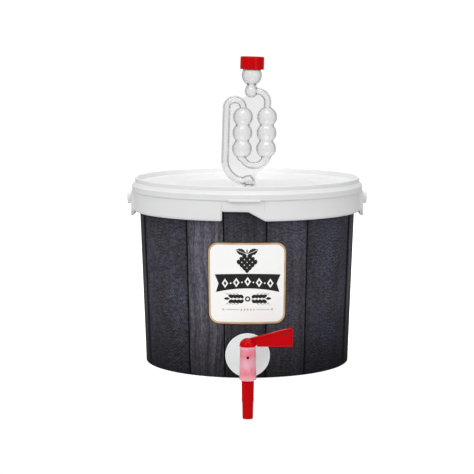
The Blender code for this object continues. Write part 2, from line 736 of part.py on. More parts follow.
def bail_strap():
    """U-shaped hoop of rectangular section in the XY plane, from ear to ear round +Y."""
    stations = [(0, 0.0)]
    stations += [(angle, BAIL_STRAIGHT) for angle in (0, 12, 26, 40, 56, 64, 77, 90)]
    stations += [(180 - angle, start) for angle, start in stations[-2::-1]]
    shape = bmesh.new()
    sections = []
    for angle, start in stations:
        share = grip_share(angle)
        thick = BAIL_HALF_THICKNESS + share * (GRIP_HALF_THICKNESS - BAIL_HALF_THICKNESS)
        tall = BAIL_HALF_HEIGHT + share * (GRIP_HALF_HEIGHT - BAIL_HALF_HEIGHT)
        outward = Vector((math.cos(math.radians(angle)), math.sin(math.radians(angle)), 0.0))
        centre = Vector((0.0, start, 0.0))
        middle = centre + outward * (BAIL_RADIUS + share * (GRIP_HALF_THICKNESS - BAIL_HALF_THICKNESS))
        up = Vector((0.0, 0.0, tall))
        corners = (
            middle - outward * thick - up,
            middle + outward * thick - up,
            middle + outward * thick + up,
            middle - outward * thick + up,
        )
        sections.append([shape.verts.new(corner) for corner in corners])
    shape.faces.new(sections[0])
    shape.faces.new(reversed(sections[-1]))
    for low, high in zip(sections, sections[1:]):
        for side in range(4):
            after = (side + 1) % 4
            shape.faces.new((low[side], high[side], high[after], low[after]))
    return shape


def bail_end(side):
    """Hub disc with the peg that turns in the ear."""
    low, high = BAIL_RADIUS - BAIL_HALF_THICKNESS, BAIL_RADIUS + BAIL_HALF_THICKNESS
    profile = [
        (0.0, high),
        (HUB_DISC_RADIUS - 0.8 * MM, high),
        (HUB_DISC_RADIUS, high - 0.8 * MM),
        (HUB_DISC_RADIUS, low),
        (PEG_RADIUS, low),
        (PEG_RADIUS, PEG_INNER),
        (0.0, PEG_INNER),
    ]
    shape = along_x(turned(profile, 16))
    return shape if side > 0 else move(shape, Matrix.Rotation(math.pi, 4, "Z"))


def make_bail(finish):
    bail = add_object("bail_handle", bail_strap(), finish)
    bail.location = (0.0, 0.0, HINGE_HEIGHT)
    bail.rotation_euler = (math.radians(BAIL_REST_ANGLE), 0.0, 0.0)
    for side, label in ((-1, "left"), (1, "right")):
        tool = combine(bail, "UNION", bail_end(side), f"{label}_hub")
        tool.location = bail.location
        tool.rotation_euler = bail.rotation_euler


def build():
    clear_scene()
    white = plastic("white_polypropylene", (0.80, 0.80, 0.80), 0.38)
    wood_print = plastic("wood_print_film", (0.045, 0.045, 0.055), 0.45)
    badge_print = plastic("badge_print_film", (0.83, 0.81, 0.77), 0.35)
    red = plastic("red_polypropylene", (0.72, 0.004, 0.012), 0.3)
    natural = plastic("natural_polypropylene", (0.82, 0.78, 0.78), 0.35, alpha=0.7)
    clear = plastic("clear_polystyrene", (0.93, 0.94, 0.94), 0.08, alpha=0.35, transmission=0.9)
    rubber = plastic("white_silicone", (0.72, 0.72, 0.70), 0.6)

    make_bucket(white)
    make_wrap(wood_print)
    make_badge(badge_print)
    make_lid(white)
    make_grommet(rubber)
    frame = airlock_frame()
    make_airlock(clear, frame)
    make_airlock_cap(red, frame)
    make_tap_body(natural)
    make_seals(rubber)
    make_nut(natural)
    make_tap_lever(red)
    make_bail(white)


build()
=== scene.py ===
import json
import math

import bmesh
import bpy
from mathutils import Matrix, Vector


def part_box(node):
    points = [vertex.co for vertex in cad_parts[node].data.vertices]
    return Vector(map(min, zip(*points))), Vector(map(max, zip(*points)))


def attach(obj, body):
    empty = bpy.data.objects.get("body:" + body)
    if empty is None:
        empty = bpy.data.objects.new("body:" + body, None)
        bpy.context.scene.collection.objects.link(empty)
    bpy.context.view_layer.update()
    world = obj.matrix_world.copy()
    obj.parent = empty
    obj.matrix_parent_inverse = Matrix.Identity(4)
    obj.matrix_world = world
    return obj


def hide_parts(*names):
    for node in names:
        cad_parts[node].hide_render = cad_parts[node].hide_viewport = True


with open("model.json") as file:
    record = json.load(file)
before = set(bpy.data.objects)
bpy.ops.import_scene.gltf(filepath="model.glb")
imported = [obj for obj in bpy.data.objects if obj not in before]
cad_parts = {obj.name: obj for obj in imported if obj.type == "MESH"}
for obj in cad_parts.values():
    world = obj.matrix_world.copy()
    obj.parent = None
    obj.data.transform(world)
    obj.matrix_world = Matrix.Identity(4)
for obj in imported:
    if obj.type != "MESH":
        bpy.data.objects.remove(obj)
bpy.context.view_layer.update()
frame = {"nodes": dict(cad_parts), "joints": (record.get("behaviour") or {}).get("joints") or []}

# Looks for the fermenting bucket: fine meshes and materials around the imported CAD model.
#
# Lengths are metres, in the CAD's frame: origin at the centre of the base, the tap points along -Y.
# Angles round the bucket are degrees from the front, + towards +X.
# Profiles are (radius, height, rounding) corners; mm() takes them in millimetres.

MM = 0.001

ROUND = 192             # segments round the bucket and its lid
MEDIUM = 96             # segments round the tap, grommet and cap
TUBE = 80               # segments round the airlock's tubes
ROUNDING_STEP = 18      # degrees of each edge along a rounded corner
SHARP = math.radians(32)    # a fold of more than this stays a sharp edge

SHELL_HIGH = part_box("bucket_shell")[1]
WRAP_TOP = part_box("printed_wrap")[1].z
BADGE_LOW, BADGE_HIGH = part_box("front_badge")
LID_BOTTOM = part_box("lid")[0].z
GROMMET_LOW, GROMMET_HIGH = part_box("airlock_grommet")
NUT_LOW, NUT_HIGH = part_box("tap_back_nut")
JOINTS = {joint["name"]: joint for joint in frame["joints"]}

# Bucket
BASE_RADIUS = 98.62 * MM
WALL_TAPER = 0.0363
WALL = 1.6 * MM
FLOOR = 2.2 * MM
RIM_TOP = SHELL_HIGH.z
SKIRT_RADIUS = 110.5 * MM
SKIRT_THICKNESS = 1.4 * MM
SKIRT_BOTTOM = 148.2 * MM
EAR_OUTER = SHELL_HIGH.x
FILM = 0.8 * MM         # outer face of the wrap, measured out from the bucket's wall
BADGE_FACE = 1.45 * MM  # outer face of the badge's film, the same way
INK = 0.06 * MM         # thickness of a printed layer on the badge
UV_HEIGHT = 0.09        # height where the print's distances round the wall are true

# Airlock: u runs to the right and w up from the top of the lid's dish, before the airlock leans
AIRLOCK_LEAN = Matrix.Rotation(math.radians(1.8), 4, "Y")
AIRLOCK_PLACE = Matrix.Translation((1.26 * MM, -55.0 * MM, 172.7 * MM)) @ AIRLOCK_LEAN
AIRLOCK_WALL = 1.25 * MM
TUBE_RADIUS = 3.6 * MM
RISER_U = -23.2 * MM
LEFT_U = -7.7 * MM
RIGHT_U = 15.0 * MM
HEAD_U = -0.6 * MM
ELBOW = 20.0 * MM       # radius of the bend from the boss to the riser
OUTLET_W = 7.7 * MM
BOSS_W = 7.8 * MM
CROWN = (LEFT_U - RISER_U) / 2
CROWN_W = 76.6 * MM
SHOULDER = 10.1 * MM    # radius of the bend from the right tube to the head
SMALL_W = 92.8 * MM     # middle of the small bulb
RIGHT_LOWEST_W = 39.1 * MM
BUBBLE = 9.35 * MM
PITCH = 14.9 * MM       # between the middles of bubbles

# Tap
TAP_PIVOT = Vector(JOINTS["tap_turn"]["pos_m"])
TO_TAP = Matrix.Translation((TAP_PIVOT.x, TAP_PIVOT.y, 0.0))
SHANK_Z = 22.6 * MM
PORT_Z = 26.2 * MM
BARREL_LOW, BARREL_HIGH = 4.4 * MM, 35.6 * MM
BARREL_GAINS = (1.04, 1.06, 1.09)
# Colours up the barrel, each at its share of the height
BARREL_TINTS = (
    (0.00, (239, 193, 195)), (0.05, (235, 151, 158)), (0.20, (229, 110, 122)),
    (0.33, (231, 126, 142)), (0.45, (227, 158, 169)), (0.62, (225, 149, 160)),
    (0.74, (223, 112, 124)), (0.90, (229, 124, 133)), (0.97, (237, 158, 162)),
    (1.00, (239, 180, 182)),
)

# Handle
BAIL_PIVOT = Vector(JOINTS["bail_swing"]["pos_m"])
BAIL_TURN = Matrix.Translation(BAIL_PIVOT) @ Matrix.Rotation(math.radians(-6.0), 4, "X")

# Planks by the angle where each starts: tone, place of its figure, and how much of it is ripple, not grain
PLANKS = (
    (-180.0, 0.92, 0.11, 0.2), (-140.0, 0.90, 0.74, 0.9), (-106.0, 1.30, 0.22, 0.3),
    (-70.4, 1.04, 0.48, 1.0), (-32.9, 1.78, 0.85, 0.0), (-12.3, 0.90, 0.22, 0.45),
    (9.6, 1.26, 0.59, 0.60), (32.2, 0.98, 0.96, 1.0), (68.8, 1.40, 0.33, 0.2),
    (101.0, 0.95, 0.07, 0.9), (128.0, 1.14, 0.66, 0.0), (158.0, 0.90, 0.18, 0.6),
)
WIDE_JOINTS = (-70.4, 68.8)
WIDER = 2.1 * MM        # how much further a wide joint reaches to each side

# Light of the room round the object, as background strengths
ROOM_LEVEL = 0.68
ROOM_ABOVE = 0.90
ROOM_BELOW = 0.74
ROOM_MIRRORED = 0.26
BACKDROP_MIRRORED = 0.90
BACKDROP_SEEN = 1.02
THROUGH_BACK = 0.90
THROUGH_SIDES = 0.30

# Table and camera
TABLE_FRONT = -0.103
CAMERA_AT = (-0.00987, -1.6272, 0.3173)
CAMERA_DIP = 6.891      # degrees below level
CAMERA_LENS = 126.6     # mm, on a sensor 36 mm wide


# ---- mesh helpers


def mm(*corners):
    """Corners written in millimetres, in metres."""
    return [tuple(value * MM for value in corner) for corner in corners]


def eased(share):
    """A share held between 0 and 1, with soft ends."""
    share = min(max(share, 0.0), 1.0)
    return share * share * (3 - 2 * share)


def rounded(corners, closed=False):
    """Points along a polyline of (x, y, radius) corners, with an arc at each corner that has a radius."""
    points = []
    count = len(corners)
    for index, (x, y, radius) in enumerate(corners):
        corner = Vector((x, y))
        inner = closed or 0 < index < count - 1
        if not radius or not inner:
            points.append((x, y))
            continue
        before = (Vector(corners[index - 1][:2]) - corner).normalized()
        after = (Vector(corners[(index + 1) % count][:2]) - corner).normalized()
        half = before.angle(after) / 2
        reach = radius / math.tan(half)
        centre = corner + (before + after).normalized() * (radius / math.sin(half))
        start = corner + before * reach - centre
        end = corner + after * reach - centre
        swing = start.angle_signed(end)
        steps = max(2, round(abs(math.degrees(swing)) / ROUNDING_STEP))
        for step in range(steps + 1):
            turned_by = Matrix.Rotation(-swing * step / steps, 2)
            points.append(tuple(centre + turned_by @ start))
    return points


def arc(centre, radius, start, end, count):
    """Points on a circle between two angles in degrees, both ends included."""
    angles = [math.radians(start + (end - start) * step / count) for step in range(count + 1)]
    return [(centre[0] + radius * math.cos(a), centre[1] + radius * math.sin(a)) for a in angles]


def plain(points):
    """Corners without rounding, for a mix of arcs and corners."""
    return [(x, y, 0.0) for x, y in points]


def circle(radius, count):
    """Corners of a regular polygon about the origin, the first on its right."""
    angles = [math.tau * step / count for step in range(count)]
    return [(radius * math.cos(a), radius * math.sin(a)) for a in angles]


def box_outline(left, low, right, high, corner):
    """Corners of a rectangle, each with the same rounding."""
    return [(left, low, corner), (right, low, corner), (right, high, corner), (left, high, corner)]


def finish_mesh(name, shape, material, even=True):
    """An object from a bmesh, with smooth faces, sharp edges where they fold, and its material."""
    bmesh.ops.remove_doubles(shape, verts=shape.verts, dist=1e-7)
    bmesh.ops.recalc_face_normals(shape, faces=shape.faces)
    mesh = bpy.data.meshes.new(name)
    shape.to_mesh(mesh)
    shape.free()
    mesh.shade_smooth()
    mesh.set_sharp_from_angle(angle=SHARP)
    made = bpy.data.objects.new(name, mesh)
    bpy.context.scene.collection.objects.link(made)
    mesh.materials.append(material)
    return weighted(made) if even else made


def weighted(made):
    """Even out the shading across an object's flat faces."""
    modifier = made.modifiers.new("even_shading", "WEIGHTED_NORMAL")
    modifier.keep_sharp = True
    return made


def turned(corners, segments, ring=False):
    """Spin a profile of (radius, height, rounding) corners about Z."""
    shape = bmesh.new()
    rings = []
    for radius, height in rounded(corners, closed=ring):
        around = circle(radius, segments) if radius > 1e-7 else [(0.0, 0.0)]
        rings.append([shape.verts.new((x, y, height)) for x, y in around])
    pairs = list(zip(rings, rings[1:]))
    if ring:
        pairs.append((rings[-1], rings[0]))
    for low, high in pairs:
        for step in range(segments):
            after = (step + 1) % segments
            if len(low) == 1 and len(high) == 1:
                continue
            if len(low) == 1:
                shape.faces.new((low[0], high[step], high[after]))
            elif len(high) == 1:
                shape.faces.new((low[step], high[0], low[after]))
            else:
                shape.faces.new((low[step], high[step], high[after], low[after]))
    return shape


def swept(places, sections, close=False):
    """A bar through frames (centre, across, up), each with its own section of (a, b) points."""
    shape = bmesh.new()
    rings = []
    for (centre, across, up), section in zip(places, sections):
        rings.append([shape.verts.new(centre + across * a + up * b) for a, b in section])
    count = len(rings[0])
    pairs = list(zip(rings, rings[1:]))
    if close:
        pairs.append((rings[-1], rings[0]))
    else:
        shape.faces.new(rings[0])
        shape.faces.new(reversed(rings[-1]))
    for low, high in pairs:
        for step in range(count):
            after = (step + 1) % count
            shape.faces.new((low[step], high[step], high[after], low[after]))
    return shape


def upright_frames(path):
    """Frames for a bar along (x, z) points in the plane of Y = 0."""
    places = []
    for index, (x, z) in enumerate(path):
        before, after = path[max(index - 1, 0)], path[min(index + 1, len(path) - 1)]
        ahead = Vector((after[0] - before[0], 0.0, after[1] - before[1])).normalized()
        places.append((Vector((x, 0.0, z)), Vector((ahead.z, 0.0, -ahead.x)), Vector((0.0, 1.0, 0.0))))
    return places


def prism(outline, axis, low, high):
    """Extrude a closed outline in the plane across an axis between two places on it."""
    place = {
        "X": lambda a, b, depth: (depth, a, b),
        "Y": lambda a, b, depth: (a, depth, b),
        "Z": lambda a, b, depth: (a, b, depth),
    }[axis]
    shape = bmesh.new()
    start = [shape.verts.new(place(a, b, low)) for a, b in outline]
    end = [shape.verts.new(place(a, b, high)) for a, b in outline]
    shape.faces.new(start)
    shape.faces.new(reversed(end))
    for index in range(len(outline)):
        after = (index + 1) % len(outline)
        shape.faces.new((start[index], end[index], end[after], start[after]))
    return shape


def merge(*shapes):
    """Put several bmeshes into the first one."""
    target = shapes[0]
    for shape in shapes[1:]:
        mesh = bpy.data.meshes.new("merging")
        shape.to_mesh(mesh)
        shape.free()
        target.from_mesh(mesh)
        bpy.data.meshes.remove(mesh)
    return target


def move(shape, matrix):
    bmesh.ops.transform(shape, matrix=matrix, verts=shape.verts)
    return shape


def at(shape, x, y, z):
    return move(shape, Matrix.Translation((x, y, z)))


def along_y(shape):
    """Lay a shape made about Z along Y."""
    return move(shape, Matrix.Rotation(math.radians(-90), 4, "X"))


def on_side(shape, side):
    """Lay a shape made about Z along +X for the right side, or -X for the left."""
    move(shape, Matrix.Rotation(math.radians(90), 4, "Y"))
    return move(shape, Matrix.Rotation(math.pi, 4, "Z")) if side < 0 else shape


def rod(radius, low, high, segments=64):
    """A plain cylinder about Z to cut with, written in millimetres."""
    return turned(mm((0, low, 0), (radius, low, 0), (radius, high, 0), (0, high, 0)), segments)


def rod_along_y(radius, low, high, x, z, segments=64):
    """A cylinder written in millimetres, along Y through a point (x, z) in metres."""
    return at(along_y(rod(radius, low, high, segments)), x, 0.0, z)


def baked(made):
    """Replace an object's mesh by what its modifiers make of it."""
    bpy.context.view_layer.update()
    result = bpy.data.meshes.new_from_object(made.evaluated_get(bpy.context.evaluated_depsgraph_get()))
    made.modifiers.clear()
    made.data = result
    result.shade_smooth()
    result.set_sharp_from_angle(angle=SHARP)
    return made


def bevelled(made, width):
    """Round an object's sharp edges and bake the result into its mesh."""
    modifier = made.modifiers.new("edges", "BEVEL")
    modifier.width = width
    modifier.segments = 3
    modifier.limit_method = "ANGLE"
    modifier.angle_limit = math.radians(35)
    modifier.use_clamp_overlap = True
    return baked(made)


def boolean(made, operation, *shapes):
    """Join or cut solids and bake the result into the object's mesh."""
    for shape in shapes:
        tool = finish_mesh("tool", shape, made.data.materials[0], even=False)
        modifier = made.modifiers.new("cut", "BOOLEAN")
        modifier.operation = operation
        modifier.object = tool
        baked(made)
        bpy.data.objects.remove(tool)
    return made


def place(made, body, slot, *nodes):
    """Hang a finished piece on its CAD body in place of CAD nodes; the material slot it is given is not used.
    """
    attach(made, body)
    if nodes:
        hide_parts(*nodes)
    return made


# ---- bucket wall geometry


def wall_radius(height, outward=0.0):
    """Outer radius of the tapered wall at a height, plus an offset."""
    return BASE_RADIUS + WALL_TAPER * height + outward


def round_point(angle, height, radius):
    """A point at an angle in degrees from the front, a height and a radius."""
    return Vector((radius * math.sin(math.radians(angle)), -radius * math.cos(math.radians(angle)), height))


def on_wall(angle, height, outward):
    """A point on the tapered wall, set out from it by an offset."""
    return round_point(angle, height, wall_radius(height, outward))


def wall_patch(outline, low, high, columns=2.5 * MM, angle=0.0):
    """A thin solid that lies on the wall: an outline of (across, height), from one offset to another.

    Across is measured along the wall at mid-badge height, so upright lines follow the taper.
    """
    middle = (BADGE_LOW.z + BADGE_HIGH.z) / 2
    shape = bmesh.new()
    shape.faces.new([shape.verts.new((x, y, 0.0)) for x, y in outline])
    left = min(x for x, _ in outline)
    right = max(x for x, _ in outline)
    for step in range(1, math.ceil((right - left) / columns)):
        cut = (left + step * columns, 0.0, 0.0)
        everything = shape.verts[:] + shape.edges[:] + shape.faces[:]
        bmesh.ops.bisect_plane(shape, geom=everything, plane_co=cut, plane_no=(1.0, 0.0, 0.0))
    extruded = bmesh.ops.extrude_face_region(shape, geom=shape.faces[:])
    raised = {item for item in extruded["geom"] if isinstance(item, bmesh.types.BMVert)}
    scale = math.degrees(1.0 / wall_radius(middle))
    for vertex in shape.verts:
        across, height = vertex.co.x, vertex.co.y
        vertex.co = on_wall(angle + across * scale, height, high if vertex in raised else low)
    return shape


# ---- material helpers


class Nodes:
    """Short-hand for wiring a material's nodes."""

    def __init__(self, name):
        self.material = bpy.data.materials.new(name)
        self.material.use_nodes = True
        self.tree = self.material.node_tree
        self.shader = self.tree.nodes["Principled BSDF"]

    @classmethod
    def around(cls, tree):
        """The same short-hand for a node tree that isn't a material's."""
        nodes = cls.__new__(cls)
        nodes.tree = tree
        return nodes

    def add(self, kind, settings=None, **inputs):
        node = self.tree.nodes.new(kind)
        for key, value in (settings or {}).items():
            setattr(node, key, value)
        for key, value in inputs.items():
            self.feed(node.inputs[key.replace("_", " ")], value)
        return node

    def feed(self, socket, value):
        if isinstance(value, bpy.types.NodeSocket):
            self.tree.links.new(value, socket)
        else:
            socket.default_value = value

    def shade(self, **inputs):
        for key, value in inputs.items():
            self.feed(self.shader.inputs[key.replace("_", " ")], value)

    def math(self, operation, *values):
        node = self.add("ShaderNodeMath", {"operation": operation})
        for socket, value in zip(node.inputs, values):
            self.feed(socket, value)
        return node.outputs[0]

    def times(self, *values):
        product = values[0]
        for value in values[1:]:
            product = self.math("MULTIPLY", product, value)
        return product

    def plus(self, first, second):
        return self.math("ADD", first, second)

    def minus(self, first, second):
        return self.math("SUBTRACT", first, second)

    def remap(self, value, low, high, to_low=0.0, to_high=1.0):
        ends = {"From_Min": low, "From_Max": high, "To_Min": to_low, "To_Max": to_high}
        return self.add("ShaderNodeMapRange", Value=value, **ends).outputs[0]

    def mix(self, factor, first, second, blend="MIX"):
        node = self.add("ShaderNodeMix", {"data_type": "RGBA", "blend_type": blend})
        for socket, value in ((0, factor), (6, first), (7, second)):
            self.feed(node.inputs[socket], value)
        return node.outputs[2]

    def place(self):
        return self.add("ShaderNodeTexCoord").outputs["Object"]

    def noise(self, vector, scale, detail=3.0, roughness=0.5, distortion=0.0):
        looks = {"Detail": detail, "Roughness": roughness, "Distortion": distortion}
        return self.add("ShaderNodeTexNoise", Vector=vector, Scale=scale, **looks).outputs["Fac"]

    def stretched(self, vector, scale, location=(0.0, 0.0, 0.0)):
        return self.add("ShaderNodeMapping", Vector=vector, Scale=scale, Location=location).outputs["Vector"]

    def bump(self, height, strength, distance):
        return self.add("ShaderNodeBump", Height=height, Strength=strength, Distance=distance).outputs["Normal"]

    def grey(self, value):
        return self.add("ShaderNodeCombineColor", Red=value, Green=value, Blue=value).outputs[0]


def rgb(red, green, blue):
    """An sRGB colour from 0 to 255 as a linear shader colour."""
    linear = [((c / 255 + 0.055) / 1.055) ** 2.4 if c > 10 else c / 255 / 12.92 for c in (red, green, blue)]
    return (*linear, 1.0)


# ---- materials


def moulded_plastic(name, colour, roughness, subsurface, depth, grain=0.10, variation=0.02, shine=0.5):
    """Opaque moulded plastic: faint flow variation, a fine orange-peel bump and uneven gloss."""
    nodes = Nodes(name)
    place_on = nodes.place()
    flow = nodes.noise(nodes.stretched(place_on, (9.0, 9.0, 22.0)), 1.0, 3.0, 0.55)
    dark = tuple(c * (1.0 - variation) for c in colour[:3]) + (1.0,)
    light = tuple(min(c * (1.0 + variation), 1.0) for c in colour[:3]) + (1.0,)
    nodes.shade(Base_Color=nodes.mix(nodes.remap(flow, 0.3, 0.7), dark, light))
    wear = nodes.noise(place_on, 60.0, 4.0, 0.6)
    nodes.shade(Roughness=nodes.remap(wear, 0.25, 0.75, roughness - 0.05, roughness + 0.06))
    peel = nodes.noise(place_on, 900.0, 2.0, 0.5)
    nodes.shade(Normal=nodes.bump(peel, grain, 0.00006))
    nodes.shade(Subsurface_Weight=subsurface, Subsurface_Scale=depth, Subsurface_Radius=(1.0, 0.85, 0.75))
    nodes.shade(IOR=1.49, Specular_IOR_Level=shine)
    return nodes.material


def plank_values(nodes, across, metres_per_degree):
    """Tone, shift, ripple share and distance from the plank's middle, at a place round the wall."""
    half = 180.0 * metres_per_degree
    ramp = nodes.add("ShaderNodeValToRGB", Fac=nodes.remap(across, -half, half))
    ramp.color_ramp.interpolation = "CONSTANT"
    elements = ramp.color_ramp.elements
    ends = [plank[0] for plank in PLANKS[1:]] + [180.0]
    for number, (start, tone, shift, ripple) in enumerate(PLANKS):
        stop = elements[number] if number < 2 else elements.new(0.999)
        stop.position = (start + 180.0) / 360.0
        stop.color = (tone / 2.0, shift, ripple, ((start + ends[number]) / 2 + 180.0) / 360.0)
    parts = nodes.add("ShaderNodeSeparateColor", Color=ramp.outputs["Color"]).outputs
    middle = nodes.remap(ramp.outputs["Alpha"], 0.0, 1.0, -half, half)
    tone = nodes.times(parts["Red"], 2.0)
    return tone, parts["Green"], parts["Blue"], nodes.minus(across, middle)


def wood_print():
    """Charcoal planks printed on a satin film, with painted shade low down and under the skirt. UV holds metres
    round the wall and metres up.
    """
    nodes = Nodes("wood_print_film")
    wall = nodes.add("ShaderNodeUVMap", {"uv_map": "wall"}).outputs["UV"]
    split = nodes.add("ShaderNodeSeparateXYZ", Vector=wall)
    across, up = split.outputs["X"], split.outputs["Y"]
    metres_per_degree = math.radians(1.0) * wall_radius(UV_HEIGHT)
    tone, shift, ripple, from_middle = plank_values(nodes, across, metres_per_degree)

    def noise(place, scale, detail=3.0, roughness=0.5):
        return nodes.noise(nodes.stretched(place, scale), 1.0, detail, roughness)

    def plank_place(along):
        """A place in the plank's own print."""
        depth = nodes.times(shift, 3.0)
        return nodes.add("ShaderNodeCombineXYZ", X=along, Y=up, Z=depth).outputs["Vector"]

    def figure_place(along, scale, reach):
        """A place in the plank's own print, pushed to and fro by a slow noise."""
        sway = nodes.minus(noise(plank_place(along), scale, 2.0), 0.5)
        return plank_place(nodes.plus(along, nodes.times(sway, reach)))

    spot = plank_place(across)
    gap = 1.0
    for start, _, _, _ in PLANKS[1:]:
        away = nodes.math("ABSOLUTE", nodes.minus(across, start * metres_per_degree))
        if start in WIDE_JOINTS:
            away = nodes.math("MAXIMUM", nodes.minus(away, WIDER), 0.0)
        gap = nodes.math("MINIMUM", away, gap)
    ragged = nodes.minus(noise(spot, (50.0, 160.0, 1.0)), 0.5)
    gap = nodes.plus(gap, nodes.times(ragged, 0.0008))

    grain_place = figure_place(across, (7.0, 7.0, 1.0), 0.030)
    lines = noise(grain_place, (430.0, 6.0, 1.0), 3.0, 0.6)
    bands = noise(grain_place, (150.0, 3.0, 1.0), 2.0)
    streaks = noise(grain_place, (720.0, 240.0, 1.0), 3.0, 0.65)
    grain = nodes.times(nodes.remap(lines, 0.36, 0.62, 0.50, 1.20), nodes.remap(bands, 0.35, 0.65, 0.84, 1.08))
    grain = nodes.times(grain, nodes.remap(streaks, 0.34, 0.66, 0.66, 1.34))

    rings = nodes.add("ShaderNodeTexWave", {"wave_type": "RINGS", "rings_direction": "SPHERICAL"})
    ring_place = figure_place(from_middle, (30.0, 22.0, 1.0), 0.010)
    ring_place = nodes.stretched(ring_place, (100.0, 62.0, 0.0), (0.0, -5.6, 0.0))
    nodes.feed(rings.inputs["Vector"], ring_place)
    for name, value in (("Scale", 1.75), ("Distortion", 3.0), ("Detail", 2.0), ("Detail Scale", 1.0)):
        nodes.feed(rings.inputs[name], value)
    pebbles = noise(spot, (270.0, 560.0, 1.0), 2.0, 0.7)
    clouds = noise(spot, (42.0, 17.0, 1.0), 3.0, 0.55)
    curled = nodes.remap(rings.outputs["Fac"], 0.0, 1.0, 0.78, 1.20)
    curled = nodes.times(curled, nodes.remap(pebbles, 0.36, 0.66, 0.58, 1.46))
    curled = nodes.times(curled, nodes.remap(clouds, 0.3, 0.7, 0.72, 1.20))

    figure = nodes.plus(nodes.times(curled, ripple), nodes.times(grain, nodes.minus(1.0, ripple)))
    flecks = noise(spot, (420.0, 480.0, 1.0), 2.0, 0.7)
    value = nodes.times(figure, tone, nodes.remap(flecks, 0.35, 0.68, 0.80, 1.26))
    # Painted shade: darker on the lower right, and darker towards the bottom where the bucket stands on the
    # table.
    painted_shade_low_right = nodes.times(nodes.remap(across, 0.02, 0.12, 0.0, 0.50), nodes.remap(up, 0.0, 0.075, 1.0, 0.0))
    value = nodes.times(value, nodes.remap(up, 0.0, 0.065, 0.26, 1.0), nodes.minus(1.0, painted_shade_low_right))
    # Painted shade under the bucket's skirt: the top of the print is darkened.
    value = nodes.times(value, nodes.remap(up, 0.125, 0.160, 1.0, 0.78))
    value = nodes.times(value, nodes.remap(gap, 0.0008, 0.0060, 0.80, 1.0))
    value = nodes.times(value, nodes.remap(gap, 0.0005, 0.0010, 0.05, 1.0))
    tint = nodes.mix(nodes.times(nodes.remap(clouds, 0.35, 0.65), ripple), rgb(68, 66, 73), rgb(65, 65, 79))
    nodes.shade(Base_Color=nodes.mix(1.0, tint, nodes.grey(value), "MULTIPLY"))
    nodes.shade(Roughness=nodes.remap(pebbles, 0.3, 0.7, 0.44, 0.54))
    nodes.shade(Normal=nodes.bump(nodes.plus(streaks, pebbles), 0.12, 0.0001))
    nodes.shade(IOR=1.45, Specular_IOR_Level=0.12)
    return nodes.material


def printed_film(name, colour, second, share_scale, roughness=0.42):
    """Flat print: ink with slight mottling under a thin gloss."""
    nodes = Nodes(name)
    place_on = nodes.place()
    mottle = nodes.noise(place_on, share_scale, 4.0, 0.6)
    nodes.shade(Base_Color=nodes.mix(nodes.remap(mottle, 0.35, 0.65), colour, second))
    nodes.shade(Roughness=nodes.remap(mottle, 0.3, 0.7, roughness - 0.05, roughness + 0.05))
    nodes.shade(Normal=nodes.bump(nodes.noise(place_on, 1400.0, 2.0), 0.05, 0.00004))
    return nodes.material


def clear_plastic():
    """Clear polystyrene: faintly grey, with painted edge shade that greys it where it is seen edge-on, and soft
    flow marks in its gloss.
    """
    nodes = Nodes("clear_polystyrene")
    flow = nodes.noise(nodes.stretched(nodes.place(), (40.0, 40.0, 16.0)), 1.0, 2.0, 0.5, 0.4)
    glass = nodes.mix(flow, rgb(245, 245, 245), rgb(251, 251, 251))
    # Painted edge shade: the colour turns grey where the surface is seen at a grazing angle.
    edge = nodes.add("ShaderNodeLayerWeight", Blend=0.5).outputs["Facing"]
    nodes.shade(Base_Color=nodes.mix(nodes.remap(edge, 0.46, 0.94), glass, rgb(174, 175, 177)))
    nodes.shade(Roughness=nodes.remap(flow, 0.3, 0.7, 0.12, 0.18))
    nodes.shade(IOR=1.45, Transmission_Weight=1.0)
    nodes.shade(Normal=nodes.bump(flow, 0.05, 0.0002))
    return nodes.material


def tinted_barrel():
    """Milky plastic with the red plug showing through: deep where the plug seals, pale between."""
    nodes = Nodes("natural_polypropylene_over_plug")
    place_on = nodes.place()
    height = nodes.add("ShaderNodeSeparateXYZ", Vector=place_on).outputs["Z"]
    ramp = nodes.add("ShaderNodeValToRGB", Fac=nodes.remap(height, BARREL_LOW, BARREL_HIGH))
    elements = ramp.color_ramp.elements
    for number, (position, colour) in enumerate(BARREL_TINTS):
        stop = elements[number] if number < 2 else elements.new(position)
        stop.position = position
        stop.color = rgb(*(min(part * gain, 255) for part, gain in zip(colour, BARREL_GAINS)))
    cloud = nodes.noise(nodes.stretched(place_on, (260.0, 260.0, 90.0)), 1.0, 3.0, 0.55)
    pale = nodes.mix(nodes.remap(cloud, 0.35, 0.75, 0.0, 0.35), ramp.outputs["Color"], rgb(250, 226, 230))
    nodes.shade(Base_Color=pale)
    nodes.shade(Roughness=nodes.remap(cloud, 0.3, 0.7, 0.30, 0.42))
    nodes.shade(Subsurface_Weight=0.35, Subsurface_Scale=0.0015, Subsurface_Radius=(1.0, 0.7, 0.7))
    nodes.shade(IOR=1.49, Specular_IOR_Level=0.4)
    nodes.shade(Normal=nodes.bump(nodes.noise(place_on, 500.0, 2.0), 0.08, 0.00008))
    return nodes.material


WHITE = moulded_plastic("white_polypropylene", rgb(230, 230, 230), 0.44, 0.30, 0.0015, shine=0.4)
RED_LOOK = {"grain": 0.05, "variation": 0.04, "shine": 0.12}
RED = moulded_plastic("red_polypropylene", rgb(196, 0, 9), 0.18, 0.0, 0.001, **RED_LOOK)
RUBBER = moulded_plastic("white_silicone", rgb(222, 222, 218), 0.62, 0.30, 0.003, grain=0.2)
WOOD = wood_print()
PAPER = printed_film("badge_white", rgb(254, 254, 251), rgb(255, 255, 255), 90.0)
TAN = printed_film("badge_tan", rgb(196, 158, 112), rgb(216, 184, 142), 60.0)
BLACK = printed_film("badge_black", rgb(16, 15, 15), rgb(30, 29, 28), 500.0, 0.5)
